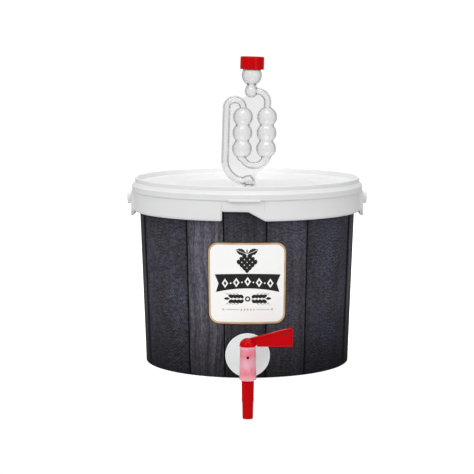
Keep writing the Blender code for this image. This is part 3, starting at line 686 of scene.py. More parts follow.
# The brown line round the badge's edge is a painted shadow of the badge.
PAINTED_EDGE_SHADOW = printed_film("badge_painted_edge_shadow", rgb(72, 56, 34), rgb(92, 74, 48), 80.0)
FADED = printed_film("badge_faded_tan", rgb(205, 192, 172), rgb(222, 212, 196), 300.0)
CLEAR = clear_plastic()
NATURAL = moulded_plastic("natural_polypropylene", rgb(245, 253, 252), 0.34, 0.30, 0.003, grain=0.06, shine=0.4)
BARREL = tinted_barrel()


# ---- bucket


def bucket_body():
    """Wall, floor with a recessed ring in its underside, and the flanged rim, turned in one."""
    under = RIM_TOP - WALL
    flange = under - 4.0 * MM
    inner = SKIRT_RADIUS - SKIRT_THICKNESS + 0.3 * MM
    corners = mm((0.0, 0.0, 0.0), (27.0, 0.0, 0.4), (28.5, 0.9, 0.4), (83.0, 0.9, 0.4), (84.5, 0.0, 0.5))
    corners += [
        (wall_radius(0.0), 0.0, 1.1 * MM),
        (wall_radius(under), under, 1.2 * MM),
        (inner, under, 0.3 * MM),
        (inner, flange, 0.0),
        (SKIRT_RADIUS - 0.3 * MM, flange, 0.0),
        (SKIRT_RADIUS - 0.05 * MM, RIM_TOP, 0.9 * MM),
        (wall_radius(RIM_TOP, -WALL), RIM_TOP, 0.7 * MM),
        (wall_radius(FLOOR, -WALL), FLOOR, 2.0 * MM),
        (0.0, FLOOR, 0.0),
    ]
    return turned(corners, ROUND)


def edge_stations():
    """The skirt's lower edge as (angle, height) points round the bucket, with the notch at the front."""
    bottom = SKIRT_BOTTOM + 0.7 * MM
    top = 158.0 * MM
    to_flat = 1.0 / math.radians(1.0) / SKIRT_RADIUS
    left = math.degrees(math.asin(-24.6 * MM / SKIRT_RADIUS)) / to_flat
    flat = rounded(
        [
            (left - 4 * MM, bottom, 0.0),
            (left, bottom, 1.3 * MM),
            (left + 0.02 * MM, top + 0.5 * MM, 0.4 * MM),
            (left + 2.6 * MM, top - 0.35 * MM, 1.5 * MM),
            (0.8 * MM, top - 0.5 * MM, 3.0 * MM),
            (16.6 * MM, bottom, 3.5 * MM),
            (23.0 * MM, bottom, 0.0),
        ]
    )
    notch = [(across * to_flat, height) for across, height in flat]
    start, end = notch[-1][0], notch[0][0] + 360.0
    around = 150
    rest = [(start + (end - start) * step / around, bottom) for step in range(1, around)]
    return notch + rest


def bucket_skirt():
    """The skirt's wall above its lower edge, and the rounded bead along that edge."""
    stations = edge_stations()
    top = RIM_TOP - 2.2 * MM
    inner, outer = SKIRT_RADIUS - SKIRT_THICKNESS, SKIRT_RADIUS
    wall = bmesh.new()
    columns = []
    for angle, height in stations:
        corners = ((height, inner), (height, outer), (top, outer), (top, inner))
        columns.append([wall.verts.new(round_point(angle, *corner)) for corner in corners])
    for index, column in enumerate(columns):
        after = columns[(index + 1) % len(columns)]
        for side in range(4):
            beyond = (side + 1) % 4
            wall.faces.new((column[side], column[beyond], after[beyond], after[side]))

    middle = (inner + outer) / 2
    places = []
    count = len(stations)
    for index, (angle, height) in enumerate(stations):
        here = round_point(angle, height, middle)
        behind = round_point(*stations[index - 1], middle)
        ahead = round_point(*stations[(index + 1) % count], middle)
        forward = (ahead - behind).normalized()
        outward = Vector((here.x, here.y, 0.0)).normalized()
        places.append((here, outward, forward.cross(outward).normalized()))
    edge = swept(places, [circle(0.78 * MM, 12)] * count, close=True)
    return merge(wall, edge)


def bucket_ribs():
    """Webs between the wall and the skirt, under the rim's flange."""
    ribs = []
    count = 30
    half = 0.55 * MM
    low, high = 163.0 * MM, RIM_TOP - WALL + 0.3 * MM
    inner = wall_radius(low, -0.3 * MM)
    outer = SKIRT_RADIUS - SKIRT_THICKNESS + 0.3 * MM
    outline = [(-outer, low + 3.0 * MM), (-inner, low), (-inner, high), (-outer, high)]
    for number in range(count):
        angle = math.radians((number + 0.5) * 360.0 / count)
        ribs.append(move(prism(outline, "X", -half, half), Matrix.Rotation(angle, 4, "Z")))
    return ribs


def tear_lines():
    """Thin raised lines on the skirt, up from the notch's ends to under the lid."""
    lines = []
    for angle, proud in ((-12.75, 0.32 * MM), (8.1, 0.16 * MM)):
        outward = Vector((math.sin(math.radians(angle)), -math.cos(math.radians(angle)), 0.0))
        across = Vector((-outward.y, outward.x, 0.0))
        foot = outward * (SKIRT_RADIUS - 0.1 * MM)
        heights = (158.6 * MM, 160.0 * MM, 168.0 * MM, 169.5 * MM)
        places = [(foot + Vector((0.0, 0.0, height)), across, outward) for height in heights]
        section = [(0.45 * MM * a, proud * b) for a, b in circle(1.0, 10)]
        lines.append(swept(places, [section] * len(places)))
    return lines


def ear(side):
    """Rounded tongue that carries the handle, sloped inside its lower edge."""
    half_width = 9.0 * MM
    tip, inner_tip = 141.5 * MM, 144.0 * MM
    inner_face = 109.5 * MM
    outline = [(-half_width, 166.6 * MM)]
    outline += arc((0.0, tip + half_width), half_width, 180, 360, 28)
    outline += [(half_width, 166.6 * MM)]
    shape = prism(outline, "X", side * inner_face, side * EAR_OUTER)
    for vertex in shape.verts:
        if abs(vertex.co.x) < (inner_face + EAR_OUTER) / 2:
            vertex.co.z = max(vertex.co.z, inner_tip)
    return shape


def make_bucket():
    body = finish_mesh("bucket_wall", bucket_body(), WHITE)
    boolean(body, "DIFFERENCE", rod_along_y(10.6, -90, -112, 0.0, SHANK_Z))
    place(weighted(body), "bucket", "white_polypropylene", "bucket_shell")

    skirt = finish_mesh("bucket_skirt", merge(bucket_skirt(), *tear_lines(), *bucket_ribs()), WHITE)
    place(skirt, "bucket", "white_polypropylene", "bucket_shell")

    for side, label in ((-1, "left"), (1, "right")):
        tongue = finish_mesh(f"bucket_ear_{label}", ear(side), WHITE, even=False)
        hole = on_side(rod(3.3, 116, 108, 40), side)
        boolean(tongue, "DIFFERENCE", at(hole, 0.0, 0.0, BAIL_PIVOT.z))
        bevelled(tongue, 0.45 * MM)
        place(weighted(tongue), "bucket", "white_polypropylene", "bucket_shell")


# ---- wrap and badge


def wall_uv(made):
    """UV in metres: round the wall at mid-badge radius from the front, and up."""
    layer = made.data.uv_layers.new(name="wall")
    radius = wall_radius(UV_HEIGHT)
    for polygon in made.data.polygons:
        angles = []
        for index in polygon.vertices:
            spot = made.data.vertices[index].co
            angles.append(math.atan2(spot.x, -spot.y))
        if max(angles) - min(angles) > math.pi:
            angles = [angle + math.tau if angle < 0 else angle for angle in angles]
        for loop, index, angle in zip(polygon.loop_indices, polygon.vertices, angles):
            layer.data[loop].uv = (angle * radius, made.data.vertices[index].co.z)


def make_wrap():
    low, high = 0.2 * MM, WRAP_TOP
    inner, outer = 0.1 * MM, FILM
    corners = [
        (wall_radius(high, outer), high, 0.2 * MM),
        (wall_radius(low, outer), low, 0.2 * MM),
        (wall_radius(low, inner), low, 0.0),
        (wall_radius(high, inner), high, 0.0),
    ]
    wrap = finish_mesh("printed_wrap_film", turned(corners, ROUND, ring=True), WOOD)
    boolean(wrap, "DIFFERENCE", rod_along_y(11, -90, -112, 0.0, SHANK_Z))
    wall_uv(wrap)
    place(weighted(wrap), "bucket", "wood_print_film", "printed_wrap")

    half, low, high = 5 * MM, low + 0.4 * MM, high - 0.4 * MM
    overlap = [(-half, low), (half, low), (half, high), (-half, high)]
    patch = wall_patch(overlap, outer - 0.1 * MM, outer + 0.12 * MM, angle=180.0)
    seam = finish_mesh("printed_wrap_overlap", patch, WOOD)
    wall_uv(seam)
    place(seam, "bucket", "wood_print_film")


def badge_outline(inset):
    """Rounded rectangle of the badge, drawn in by an inset."""
    left, right = -37.1 * MM + inset, 36.0 * MM - inset
    low, high = BADGE_LOW.z - 0.2 * MM + inset, BADGE_HIGH.z - 0.5 * MM - inset
    corner = 9.6 * MM - inset * 0.8
    corners = [(right, low, corner), (right, high, corner), (left, high, corner), (left, low, corner)]
    return rounded(corners, closed=True)


def spun(points, degrees, centre, scale=1.0):
    """An outline turned, scaled and set down on a centre."""
    turn = math.radians(degrees)
    cosine, sine = scale * math.cos(turn), scale * math.sin(turn)
    return [(centre[0] + x * cosine - y * sine, centre[1] + x * sine + y * cosine) for x, y in points]


def bract(width, height):
    """One scale of a hop cone: round shoulders, drawn down to a point."""
    right = [(0.30, 0.46), (0.48, 0.22), (0.47, -0.02), (0.34, -0.26), (0.16, -0.42)]
    outline = [(0.0, 0.40)] + right + [(0.0, -0.54)] + [(-x, y) for x, y in reversed(right)]
    return [(x * width, y * height) for x, y in outline]


def hop_cone(centre_x, top):
    """Rows of bracts that widen and then narrow to the tip, each row set between those above it."""
    shapes = []
    wide, tall, step = 4.9 * MM, 5.0 * MM, 2.65 * MM
    for row, count in enumerate((2, 3, 4, 3, 2, 1)):
        for number in range(count):
            across = (number - (count - 1) / 2) * wide
            lean = across / wide * 9.0
            shapes.append(spun(bract(wide * 0.90, tall * 0.94), lean, (centre_x + across, top - row * step)))
    return shapes


def leaf(side, centre):
    """Half-leaves on both sides of an open midrib, with a toothed edge."""
    edge = [(1.3, 1.4), (2.5, 1.7), (3.1, 2.5), (4.5, 2.4), (5.2, 2.9), (6.5, 2.2), (7.3, 2.2), (8.6, 0.9)]
    midrib = 0.22
    shapes = []
    for flip in (1, -1):
        half = [(x * MM, flip * (y + midrib) * MM) for x, y in edge + [(10.2, 0.0)]]
        half += [(x * MM, flip * midrib * MM) for x in (10.2, 0.0)]
        shapes.append(spun([(side * x, y) for x, y in half], side * 24.0, centre))
    return shapes


def barley(side, centre):
    """An ear of barley lying outward: pairs of grains along its stalk, a last grain and awns."""
    grain = [(0.0, 0.0), (1.1, 1.15), (2.7, 1.5), (4.2, 1.0), (5.4, 0.0), (4.2, -0.8), (2.4, -1.1), (0.9, -0.8)]
    grain = mm(*grain)
    shapes = []
    for number in range(4):
        root = (3.6 + number * 3.3) * MM
        for flip in (1, -1):
            outline = [(x, flip * y * 1.25) for x, y in grain]
            shapes.append([(root + x, y) for x, y in spun(outline, flip * 33.0, (0.0, flip * 0.75 * MM))])
            shapes.append([(root + x, flip * y) for x, y in mm((4.6, 4.0), (8.0, 5.6), (4.4, 4.5))])
    shapes.append([(16.6 * MM + x, y) for x, y in grain])
    return [[(centre[0] + side * x, centre[1] + y) for x, y in shape] for shape in shapes]


def banner(low, high, half):
    """A wide dark band, arched along its lower edge, with cut-in ends."""
    steps = 20
    shares = [-1.0 + 2.0 * step / steps for step in range(steps + 1)]
    lower = [(share * half, low + 4.0 * MM * (1.0 - share * share)) for share in shares]
    upper = [(-share * half * 1.03, high + 1.1 * MM * (1.0 - share * share)) for share in shares]
    notch = 2.6 * MM
    middle = (low + high) / 2
    return lower + [(half - notch, middle)] + upper + [(-half + notch, middle)]


def lozenge(x, z, half_width, half_height):
    """A diamond on its point."""
    return [(x, z - half_height), (x + half_width, z), (x, z + half_height), (x - half_width, z)]


def disc(x, z, radius, count=20):
    return [(x + a, z + b) for a, b in circle(radius, count)]


def bar(low_x, high_x, z, thickness):
    low, high = z - thickness / 2, z + thickness / 2
    return [(low_x, low), (high_x, low), (high_x, high), (low_x, high)]


def badge_art():
    """Outlines of each print in its ink: the emblem, what is cut out of it, the pips in that, and the rule."""
    middle = -0.6 * MM
    stalk, ribbon, ears, rule = 117.4 * MM, 91.6 * MM, 75.3 * MM, 65.2 * MM
    spacing, sag = 10.4 * MM, 0.9 * MM
    black = hop_cone(middle, 115.2 * MM)
    black.append(bar(-1.1 * MM, -0.1 * MM, 119.6 * MM, 4.0 * MM))
    black.append(banner(81.2 * MM, 97.8 * MM, 29.5 * MM))
    black.append(disc(0.0, ears, 2.5 * MM))
    cut_out = [disc(0.0, ears, 1.2 * MM)]
    pips = []
    tan = []
    for side in (-1, 1):
        black.extend(leaf(side, (middle + side * 0.9 * MM, stalk)))
        black.extend(barley(side, (0.0, ears)))
        tan.append(bar(*sorted((side * 8.0 * MM, side * 20.5 * MM)), rule, 0.8 * MM))
        tan.append(disc(side * 22.6 * MM, rule, 1.1 * MM))
    for number in range(-2, 3):
        x, z = number * spacing, ribbon - sag * abs(number)
        cut_out.append(lozenge(x, z, 3.0 * MM, 4.4 * MM))
        pips.append(lozenge(x, z, 1.3 * MM, 2.1 * MM))
        tan.append(lozenge(number * 2.9 * MM, rule, 1.1 * MM, 1.5 * MM))
    for number in (-1.5, -0.5, 0.5, 1.5):
        cut_out.append(disc(number * spacing, ribbon - 0.2 * MM - sag * abs(number), 0.75 * MM, 12))
    return (
        ("emblem", BLACK, black, 1),
        ("cut_outs", PAPER, cut_out, 2),
        ("pips", BLACK, pips, 3),
        ("rule", FADED, tan, 1),
    )


def make_badge():
    layers = (
        # Outside the tan border, a brown line round the badge's edge is its painted shadow.
        ("painted_shadow_line", 0.0, FILM + 0.3 * MM, BADGE_FACE - 0.10 * MM, PAINTED_EDGE_SHADOW),
        ("border", 0.6 * MM, FILM + 0.5 * MM, BADGE_FACE - 0.05 * MM, TAN),
        ("face", 2.3 * MM, BADGE_FACE - 0.2 * MM, BADGE_FACE, PAPER),
    )
    for name, inset, low, high, ink in layers:
        made = finish_mesh(f"badge_{name}", wall_patch(badge_outline(inset), low, high), ink)
        place(made, "bucket", "badge_print_film", "front_badge")
    for name, ink, outlines, layer in badge_art():
        shapes = [wall_patch(outline, BADGE_FACE - 0.02 * MM, BADGE_FACE + layer * INK) for outline in outlines]
        printed = finish_mesh(f"badge_{name}", merge(*shapes), ink, even=False)
        place(printed, "bucket", "badge_print_film", "front_badge")


# ---- lid


def lid_body():
    """The lid's dish, lip and outer wall, its fit over the rim, and its underside, turned in one."""
    rim, seat = SKIRT_RADIUS / MM + 0.4, RIM_TOP / MM + 0.3
    plug = wall_radius(168 * MM, -WALL) / MM - 0.3
    dish = [(0.0, 172.7, 0.0), (4.0, 172.7, 0.3), (4.6, 173.0, 0.3), (9.6, 173.0, 0.3), (10.2, 172.7, 0.3)]
    dish += [(65.6, 172.7, 2.0), (67.8, 173.7, 1.2), (70.2, 173.7, 1.2), (73.0, 173.3, 1.2)]
    dish += [(79.4, 173.5, 3.0), (87.4, 175.5, 3.0), (105.0, 175.5, 1.4)]
    lip = [(107.4, 180.1, 0.5), (109.53, 180.1, 0.6), (109.1, 176.2, 0.3)]
    wall = [(109.9, 175.7, 0.3), (112.6, 172.7, 0.9), (112.4, 171.2, 0.5), (112.1, 168.8, 0.3)]
    bead = [(112.2, 168.3, 0.3), (111.8, 167.4, 0.4)]
    fit = [(rim + 0.1, 166.9, 0.2), (rim, 170.4, 0.3), (rim + 0.5, 170.9, 0.3), (rim + 0.5, seat, 0.7)]
    fit += [(plug, seat, 0.7), (plug, 168.0, 0.5), (plug - 1.4, 168.0, 0.5), (plug - 1.4, 174.0, 0.8)]
    underside = [(87.8, 174.0, 0.8), (80.2, 171.9, 0.8), (68.0, 171.2, 0.5), (0.0, 171.2, 0.0)]
    return turned(mm(*dish, *lip, *wall, *bead, *fit, *underside), ROUND)


def lid_tab():
    """Finger tab on the lid's rim, over the notch."""
    inner, outer = 111.1 * MM, 114.9 * MM
    start, end = -9.4 - 90.0, 6.3 - 90.0
    outline = arc((0.0, 0.0), outer, start + 0.5, end - 0.5, 20)
    outline += arc((0.0, 0.0), inner, end, start, 20)
    return prism(outline, "Z", LID_BOTTOM, LID_BOTTOM + 2.2 * MM)


def make_lid():
    lid = finish_mesh("lid_shell", lid_body(), WHITE, even=False)
    hole_at = (GROMMET_LOW + GROMMET_HIGH) / 2
    boolean(lid, "DIFFERENCE", at(rod(6.6, 180, 165), hole_at.x, hole_at.y, 0.0))
    place(weighted(lid), "lid", "white_polypropylene", "lid")

    tab = finish_mesh("lid_tab", lid_tab(), WHITE, even=False)
    bevelled(tab, 0.5 * MM)
    place(weighted(tab), "lid", "white_polypropylene", "lid")

    low, high = GROMMET_LOW.z / MM, GROMMET_HIGH.z / MM
    corners = [(4.8, high - 0.6, 0.5), (5.6, high, 0.5), (10.5, high, 0.9), (10.5, 173.0, 0.5)]
    corners += [(6.3, 173.0, 0.2), (6.3, 170.9, 0.2), (8.2, 170.9, 0.4), (7.2, low, 0.5), (4.8, low, 0.3)]
    ring = at(turned(mm(*corners), MEDIUM, ring=True), hole_at.x, hole_at.y, 0.0)
    place(finish_mesh("grommet_ring", ring, RUBBER), "lid", "white_silicone", "airlock_grommet")


# ---- airlock


def bubbles(u, lowest, inset, upwards):
    """Rings through three overlapping bubbles, with soft waists."""
    rings = []
    steps = 110
    top = 2 * PITCH
    reach = 8.2 * MM
    for step in range(steps + 1):
        height = -reach + (top + 2 * reach) * step / steps
        gaps = [height - number * PITCH for number in range(3)]
        spheres = [math.sqrt(BUBBLE**2 - gap**2) for gap in gaps if abs(gap) < BUBBLE]
        blend = sum(radius**5 for radius in spheres) ** 0.2
        rings.append((u, lowest + height, blend - inset))
    return rings if upwards else rings[::-1]


def airlock_route(inset):
    """Gas path from the stem's boss to the small bulb, as (u, w, radius)."""
    tube = TUBE_RADIUS - inset
    left = arc((RISER_U + ELBOW, OUTLET_W + ELBOW), ELBOW, 262, 180, 30)
    left += arc((RISER_U + CROWN, CROWN_W), CROWN, 180, 0, 48)
    bend = (RIGHT_U - LEFT_U) / 2
    under = arc((LEFT_U + bend, 34.1 * MM), bend, 212, 328, 40)
    right = arc((RIGHT_U - SHOULDER, SMALL_W - SHOULDER), SHOULDER, 0, 90, 26)
    flare = mm((1.2, 8.9, 4.9), (-1.5, 8.75, 4.75), (-4.0, 8.35, 4.2))
    route = [(u, w, radius - inset) for u, w, radius in flare]
    route += [(u, w, tube) for u, w in left]
    route += bubbles(LEFT_U, 38.4 * MM, inset, upwards=False)
    route += [(u, w, tube - 0.15 * MM) for u, w in under]
    route += bubbles(RIGHT_U, RIGHT_LOWEST_W, inset, upwards=True)
    route += [(RIGHT_U, w, tube - 0.1 * MM) for w in (77.9 * MM, 80.0 * MM)]
    route += [(u, w, tube - 0.1 * MM) for u, w in right]
    route += [(u, SMALL_W, tube + wider) for u, wider in (*mm((3.6, 0.2), (2.2, 0.6)), (HEAD_U, 0.8 * MM))]
    return route


def airlock_tube(inset):
    """The whole tube with its bubbles; it widens across where it runs into the boss."""
    route = airlock_route(inset)
    sections = []
    for u, w, radius in route:
        near = eased((u / MM + 11) / 6) if w < 12 * MM else 0.0
        wide = 1.0 + (0.25 if u < 0 else 0.18) * near
        sections.append([(a, b * wide) for a, b in circle(radius, TUBE)])
    return swept(upright_frames([(u, w) for u, w, _ in route]), sections)


def airlock_head(inset, top):
    """Small bulb, neck, big bulb and the collar that the cap pushes on."""
    small, big, neck, collar = (size * MM - inset for size in (6.2, 9.4, 4.2, 8.9))
    big_w = 107.8 * MM
    ease = 2.5 * MM
    corners = [(0.0, top, 0.0), (collar, top, 0.3 * MM), (collar, 114.0 * MM, 0.8 * MM)]
    corners += plain(arc((0.0, big_w), big, 28, -20, 20))
    high, low = corners[-1][1], SMALL_W + small * math.sin(math.radians(20))
    steps = 24
    for step in range(1, steps):
        height = high + (low - high) * step / steps
        bulbs = ((small, SMALL_W), (big, big_w))
        widths = [math.sqrt(max(radius**2 - (height - middle) ** 2, 0.0)) for radius, middle in bulbs]
        widths.append(neck * eased(min((height - low) / ease, (high - height) / ease)))
        corners.append((sum(width**4 for width in widths) ** 0.25, height, 0.0))
    corners += plain(arc((0.0, SMALL_W), small, 20, -85, 24))
    corners.append((0.0, SMALL_W - small, 0.0))
    return at(turned(corners, MEDIUM), HEAD_U, 0.0, 0.0)


def airlock_stem(boss, stem, tip, foot, low):
    """The boss under the tube's end, and the stem below it, all in metres."""
    corners = [(0.0, BOSS_W + boss, 0.0)]
    corners += plain(arc((0.0, BOSS_W), boss, 85, 0, 16))
    corners += [(boss, foot, 0.6 * MM), (stem, foot, 0.3 * MM), (tip, low, 0.3 * MM), (0.0, low, 0.0)]
    return turned(corners, MEDIUM)


def airlock_web():
    """The flat web that fills between the tubes."""
    half = 0.6 * MM
    outline = [(RISER_U, CROWN_W)]
    outline += arc((RISER_U + ELBOW, BOSS_W + ELBOW), ELBOW, 180, 270, 14)
    outline += [(5.2 * MM, BOSS_W)]
    edge = mm((6.4, 10.5, 0.0), (7.2, 15.6, 2.5), (12.6, 19.0, 3.0), (18.6, 26.0, 6.0), (21.6, 34.0, 0.0))
    outline += rounded(edge)
    outline += [(RIGHT_U, RIGHT_LOWEST_W)]
    outline += arc((RIGHT_U - SHOULDER, SMALL_W - SHOULDER), SHOULDER, 0, 90, 12)
    outline += [(HEAD_U, SMALL_W), (-7.2 * MM, 86.8 * MM)]
    outline += arc((RISER_U + CROWN, CROWN_W), CROWN, 60, 165, 8)
    return prism(outline, "Y", -half, half)


def make_airlock():
    stem = airlock_stem(6.0 * MM, 4.4 * MM, 4.4 * MM - 0.4 * MM, 3.8 * MM, -33.0 * MM)
    body = finish_mesh("airlock_tubes", airlock_tube(0.0), CLEAR, even=False)
    boolean(body, "UNION", airlock_head(0.0, 123.0 * MM), stem, airlock_web())
    stem_bore = airlock_stem(3.9 * MM, 3.1 * MM, 3.1 * MM, 3.8 * MM + AIRLOCK_WALL, -38.0 * MM)
    boolean(body, "DIFFERENCE", airlock_tube(AIRLOCK_WALL), airlock_head(AIRLOCK_WALL, 128.0 * MM), stem_bore)
    body.data.transform(AIRLOCK_PLACE)
    place(body, "airlock", "clear_polystyrene", "airlock_body")

    profile = [(0.0, 125.35, 0.0), (9.6, 125.2, 2.0), (11.0, 124.85, 0.5), (11.2, 124.2, 0.3)]
    profile += [(11.2, 114.4, 0.2), (11.25, 113.2, 0.3), (9.65, 113.2, 0.3)]
    profile += [(9.65, 123.3, 0.5), (0.0, 123.3, 0.0)]
    cap = finish_mesh("cap_moulding", turned(mm(*profile), MEDIUM), RED, even=False)
    vent_z = 117.0 * MM
    ring = along_y(turned(mm((0, -10.5, 0), (0.9, -10.5, 0), (0.9, -11.5, 0.2), (0, -11.5, 0)), 24))
    boolean(cap, "UNION", at(ring, 0.0, 0.0, vent_z))
    boolean(cap, "DIFFERENCE", rod_along_y(0.35, -8, -15, 0.0, vent_z, 20))
    weighted(cap)
    cap.data.transform(AIRLOCK_PLACE @ Matrix.Translation((HEAD_U, 0.0, 0.0)))
    place(cap, "airlock_cap", "red_polypropylene", "airlock_cap")


# ---- tap


def make_tap_body():
    profile = [(6.2, 35.6, 0.2), (7.3, 35.6, 0.6), (7.5, 9.6, 3.0)]
    profile += [(7.95, 6.4, 0.8), (7.95, 4.4, 0.9), (6.2, 4.4, 0.2)]
    barrel = finish_mesh("tap_barrel", turned(mm(*profile), MEDIUM, ring=True), BARREL, even=False)
    barrel.data.transform(TO_TAP)
    front_hole = at(rod_along_y(1.3, -4.5, -9.5, 0.0, PORT_Z, 32), 0.0, TAP_PIVOT.y, 0.0)
    boolean(barrel, "DIFFERENCE", front_hole)
    place(weighted(barrel), "bucket", "natural_polypropylene", "tap_body")

    back, face, start = -102.9, -105.1, TAP_PIVOT.y / MM + 6.9
    stem = [(5.5, -84.5, 0.3), (9.5, -84.5, 0.5), (9.5, back, 0.0), (20.7, back, 0.4)]
    stem += [(20.7, face, 1.0), (19.5, face, 0.3), (19.1, face + 0.4, 0.3), (6.9, face + 0.4, 1.6)]
    stem += [(6.9, start, 0.0), (5.2, start, 0.0), (5.5, start + 1, 0.0)]
    stem = along_y(turned(mm(*stem), ROUND, ring=True))
    shank = finish_mesh("tap_flange", at(stem, 0.0, 0.0, SHANK_Z), NATURAL)
    place(shank, "bucket", "natural_polypropylene", "tap_body")

    pitch, turns, root, crest = 1.8, 9, 9.3, 10.25
    steps = 40
    places = []
    for step in range(turns * steps + 1):
        angle = math.tau * step / steps
        along = (-102.2 + pitch * step / steps) * MM
        outward = Vector((math.cos(angle), 0.0, math.sin(angle)))
        places.append((Vector((0.0, along, SHANK_Z)), outward, Vector((0.0, 1.0, 0.0))))
    section = mm((root, -0.75), (crest, -0.12), (crest, 0.12), (root, 0.75))
    thread = finish_mesh("tap_thread", swept(places, [section] * len(places)), NATURAL, even=False)
    place(thread, "bucket", "natural_polypropylene", "tap_body")


def make_seals():
    """Both seals keep the CAD's shape, which follows the wall, and get the rubber's material."""
    for node in ("tap_outer_seal", "tap_inner_seal"):
        seal = frame["nodes"][node]
        seal.data.materials.clear()
        seal.data.materials.append(RUBBER)


def make_back_nut():
    front, back = NUT_LOW.y, NUT_HIGH.y
    outline = [(x, z + SHANK_Z) for x, z in circle(16.0 * MM, 6)]
    nut = finish_mesh("back_nut", prism(outline, "Y", front + 1.2 * MM, back), NATURAL, even=False)
    boolean(nut, "DIFFERENCE", rod_along_y(10.6, -80, -110, 0.0, SHANK_Z))
    bevelled(nut, 0.6 * MM)
    place(weighted(nut), "bucket", "natural_polypropylene", "tap_back_nut")
    low = front / MM
    collar = mm((10.6, low + 1.8, 0.2), (13.9, low + 1.8, 0.2), (13.9, low, 0.3), (10.6, low, 0.2))
    collar = along_y(turned(collar, MEDIUM, ring=True))
    ring = finish_mesh("back_nut_face", at(collar, 0.0, 0.0, SHANK_Z), NATURAL)
    place(ring, "bucket", "natural_polypropylene", "tap_back_nut")


def make_lever():
    core = [(0.0, 43.0, 0.0), (3.4, 42.8, 3.0), (6.9, 40.0, 3.0), (7.7, 36.6, 1.2), (7.7, 35.9, 0.3)]
    core += [(5.9, 35.9, 0.0), (5.9, 5.0, 0.1), (5.75, 4.4, 0.2), (5.5, -14.6, 1.5), (5.1, -17.4, 1.5)]
    core += [(4.8, -31.6, 0.4), (3.4, -31.6, 0.3), (3.4, 20.0, 0.0), (0.0, 20.0, 0.0)]
    plug = finish_mesh("tap_plug", turned(mm(*core), MEDIUM), RED, even=False)
    boolean(plug, "DIFFERENCE", rod_along_y(1.3, -1.5, -8, 0.0, PORT_Z, 32))
    weighted(plug)
    plug.data.transform(TO_TAP)
    place(plug, "tap_lever", "red_polypropylene", "tap_lever")

    corners = [(0.0, 37.0, 0.0), (8.0, 37.0, 1.2), (9.2, 35.3, 0.8), (41.0, 35.3, 1.4), (41.0, 53.2, 2.2)]
    outline = rounded(mm(*corners, (1.0, 42.95, 0.0), (0.0, 42.6, 0.0)))
    web = finish_mesh("tap_lever_web", prism(outline, "Y", -1.2 * MM, 1.2 * MM), RED, even=False)
    boolean(web, "DIFFERENCE", rod_along_y(1.35, 5, -5, 35.3 * MM, 46.8 * MM, 32))
    web.data.transform(TO_TAP)
    place(weighted(web), "tap_lever", "red_polypropylene", "tap_lever")

    rim_path = rounded(mm((8.6, 36.2, 0.0), (40.2, 36.2, 1.2), (40.2, 52.1, 1.9), (1.5, 42.15, 0.0)))
    section = mm((0.75, -2.0, 0.5), (0.75, 2.0, 0.5), (-0.75, 2.0, 0.5), (-0.75, -2.0, 0.5))
    section = rounded(section, closed=True)
    rim = finish_mesh("tap_lever_rim", swept(upright_frames(rim_path), [section] * len(rim_path)), RED)
    rim.data.transform(TO_TAP)
    place(rim, "tap_lever", "red_polypropylene", "tap_lever")


# ---- handle


def make_bail():
    radius, straight = 115.4 * MM, 16.0 * MM
    places, sections = [], []
    stations = [(0.0, straight * step / 6) for step in range(6)]
    stations += [(90.0 * step / 60, straight) for step in range(61)]
    stations += [(180.0 - angle, start) for angle, start in stations[-2::-1]]
    for angle, start in stations:
        share = eased((34.0 - abs(angle - 90.0)) / 8.0)
        thick = 1.7 * MM + share * 1.5 * MM
        tall = 3.4 * MM + share * 3.6 * MM
        flute = math.cos(math.radians((angle - 90.0) * 36.0))
        notch = 0.35 * MM * share * flute if share > 0.98 else 0.0
        outward = Vector((math.cos(math.radians(angle)), math.sin(math.radians(angle)), 0.0))
        middle = Vector((0.0, start, 0.0)) + outward * (radius + share * 1.5 * MM)
        corner = min(thick, tall) * 0.55
        places.append((middle, outward, Vector((0.0, 0.0, 1.0))))
        sections.append(rounded(box_outline(-thick + notch, -tall, thick, tall, corner), closed=True))
    strap = finish_mesh("handle_strap", swept(places, sections), WHITE)
    strap.data.transform(BAIL_TURN)
    place(strap, "bail", "white_polypropylene", "bail_handle")
    hub = [(0.0, 116.4, 0.0), (2.0, 116.4, 0.5), (2.6, 117.1, 0.4), (5.3, 117.1, 1.2)]
    hub += [(5.3, 113.7, 0.4), (2.9, 113.7, 0.2), (2.9, 110.0, 0.4), (0.0, 110.0, 0.0)]
    for side, label in ((-1, "left"), (1, "right")):
        made = finish_mesh(f"handle_hub_{label}", on_side(turned(mm(*hub), 64), side), WHITE)
        made.data.transform(BAIL_TURN)
        place(made, "bail", "white_polypropylene", "bail_handle")


# ---- stage, light and camera


def make_stage():
    """A pale tabletop whose front edge stops short of the tap, so that the spout hangs free."""
    nodes = Nodes("pale_table")
    mottle = nodes.noise(nodes.place(), 6.0, 3.0)
    nodes.shade(Base_Color=nodes.mix(mottle, (0.9, 0.9, 0.9, 1.0), (0.93, 0.93, 0.93, 1.0)), Roughness=0.9)
    nodes.shade(Emission_Color=(1.0, 1.0, 1.0, 1.0), Emission_Strength=0.6)
    front, back, thickness, rim = TABLE_FRONT, 1.6, 0.018, 0.002
    corners = [(front, 0.0, rim), (front, -thickness, rim), (back, -thickness, 0.0), (back, 0.0, 0.0)]
    outline = rounded(corners, closed=True)
    table = finish_mesh("tabletop", prism(outline, "X", -1.6, 1.6), nodes.material)
    table.visible_diffuse = False
    table.visible_glossy = False
    table.visible_transmission = False


def add_area_light(name, place_at, aim, size, power):
    """A soft rectangular lamp that looks at a point and isn't seen through clear plastic."""
    light = bpy.data.lights.new(name, "AREA")
    light.shape = "RECTANGLE"
    light.size, light.size_y = size
    light.energy = power
    lamp = bpy.data.objects.new(name, light)
    lamp.location = place_at
    lamp.visible_transmission = False
    lamp.rotation_euler = (Vector(aim) - Vector(place_at)).to_track_quat("-Z", "Y").to_euler()
    bpy.context.scene.collection.objects.link(lamp)
    return lamp


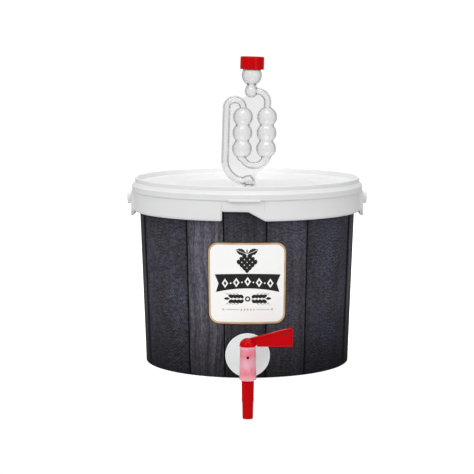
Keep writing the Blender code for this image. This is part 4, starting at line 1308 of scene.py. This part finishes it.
def make_light():
    """Soft studio: white backdrop for the camera, a dimmer room for light and reflections, and softboxes."""
    world = bpy.data.worlds.new("studio")
    bpy.context.scene.world = world
    world.use_nodes = True
    nodes = Nodes.around(world.node_tree)
    background = world.node_tree.nodes["Background"]
    towards = nodes.add("ShaderNodeTexCoord").outputs["Generated"]
    split = nodes.add("ShaderNodeSeparateXYZ", Vector=towards)
    side, ahead, up = (split.outputs[axis] for axis in "XYZ")
    rays = nodes.add("ShaderNodeLightPath").outputs

    low = nodes.remap(up, -0.5, 0.05, ROOM_BELOW, ROOM_LEVEL)
    room = nodes.times(nodes.remap(up, 0.05, 0.9, 1.0, ROOM_ABOVE / ROOM_LEVEL), low)
    room = nodes.times(room, nodes.remap(side, -0.9, 0.9, 1.14, 0.87))
    room = nodes.times(room, nodes.remap(ahead, -0.1, 0.9, 1.0, 0.74))
    mirrored = nodes.times(room, nodes.remap(ahead, 0.92, 0.99, ROOM_MIRRORED, BACKDROP_MIRRORED))
    through = nodes.remap(nodes.math("ABSOLUTE", ahead), 0.45, 0.97, THROUGH_SIDES, THROUGH_BACK)

    def choose(ray, yes, no):
        """One strength for rays of a kind, and another for the rest."""
        pick = nodes.add("ShaderNodeMix", {"data_type": "FLOAT"})
        for socket, value in ((0, rays[ray]), (2, no), (3, yes)):
            nodes.feed(pick.inputs[socket], value)
        return pick.outputs[0]

    strength = choose("Is Glossy Ray", mirrored, room)
    strength = choose("Is Transmission Ray", through, strength)
    strength = choose("Is Camera Ray", BACKDROP_SEEN, strength)
    nodes.feed(background.inputs["Strength"], strength)
    background.inputs["Color"].default_value = (1.0, 1.0, 1.0, 1.0)
    add_area_light("key_above_left", (-0.75, -1.35, 0.95), (0.0, 0.0, 0.12), (0.9, 0.9), 4.8)
    add_area_light("fill_right", (0.95, -1.3, 0.65), (0.0, 0.0, 0.12), (0.9, 0.9), 3.8)
    add_area_light("overhead", (0.0, 0.35, 1.4), (0.0, 0.0, 0.15), (1.2, 1.0), 8.2)
    gleams = (
        ("gleam_above", (0.0, -0.75, 1.45), (1.3, 0.6), 13.0),
        ("gleam_below", (0.0, -1.0, -0.8), (0.9, 0.3), 2.0),
    )
    for name, spot, size, power in gleams:
        lamp = add_area_light(name, spot, (0.0, 0.0, 0.2), size, power)
        lamp.visible_diffuse = False
        lamp.visible_transmission = True


def make_camera():
    """The photo's view: a long lens a little above the lid, looking slightly down."""
    camera = bpy.data.objects.new("camera", bpy.data.cameras.new("camera"))
    camera.data.lens = CAMERA_LENS
    camera.data.sensor_width = 36.0
    camera.data.dof.use_dof = False
    camera.location = CAMERA_AT
    camera.rotation_euler = (math.radians(90.0 - CAMERA_DIP), 0.0, 0.0)
    bpy.context.scene.collection.objects.link(camera)
    bpy.context.scene.camera = camera
    bpy.context.scene.view_settings.view_transform = "Standard"


make_bucket()
make_wrap()
make_badge()
make_lid()
make_airlock()
make_tap_body()
make_seals()
make_back_nut()
make_lever()
make_bail()
make_stage()
make_light()
make_camera()
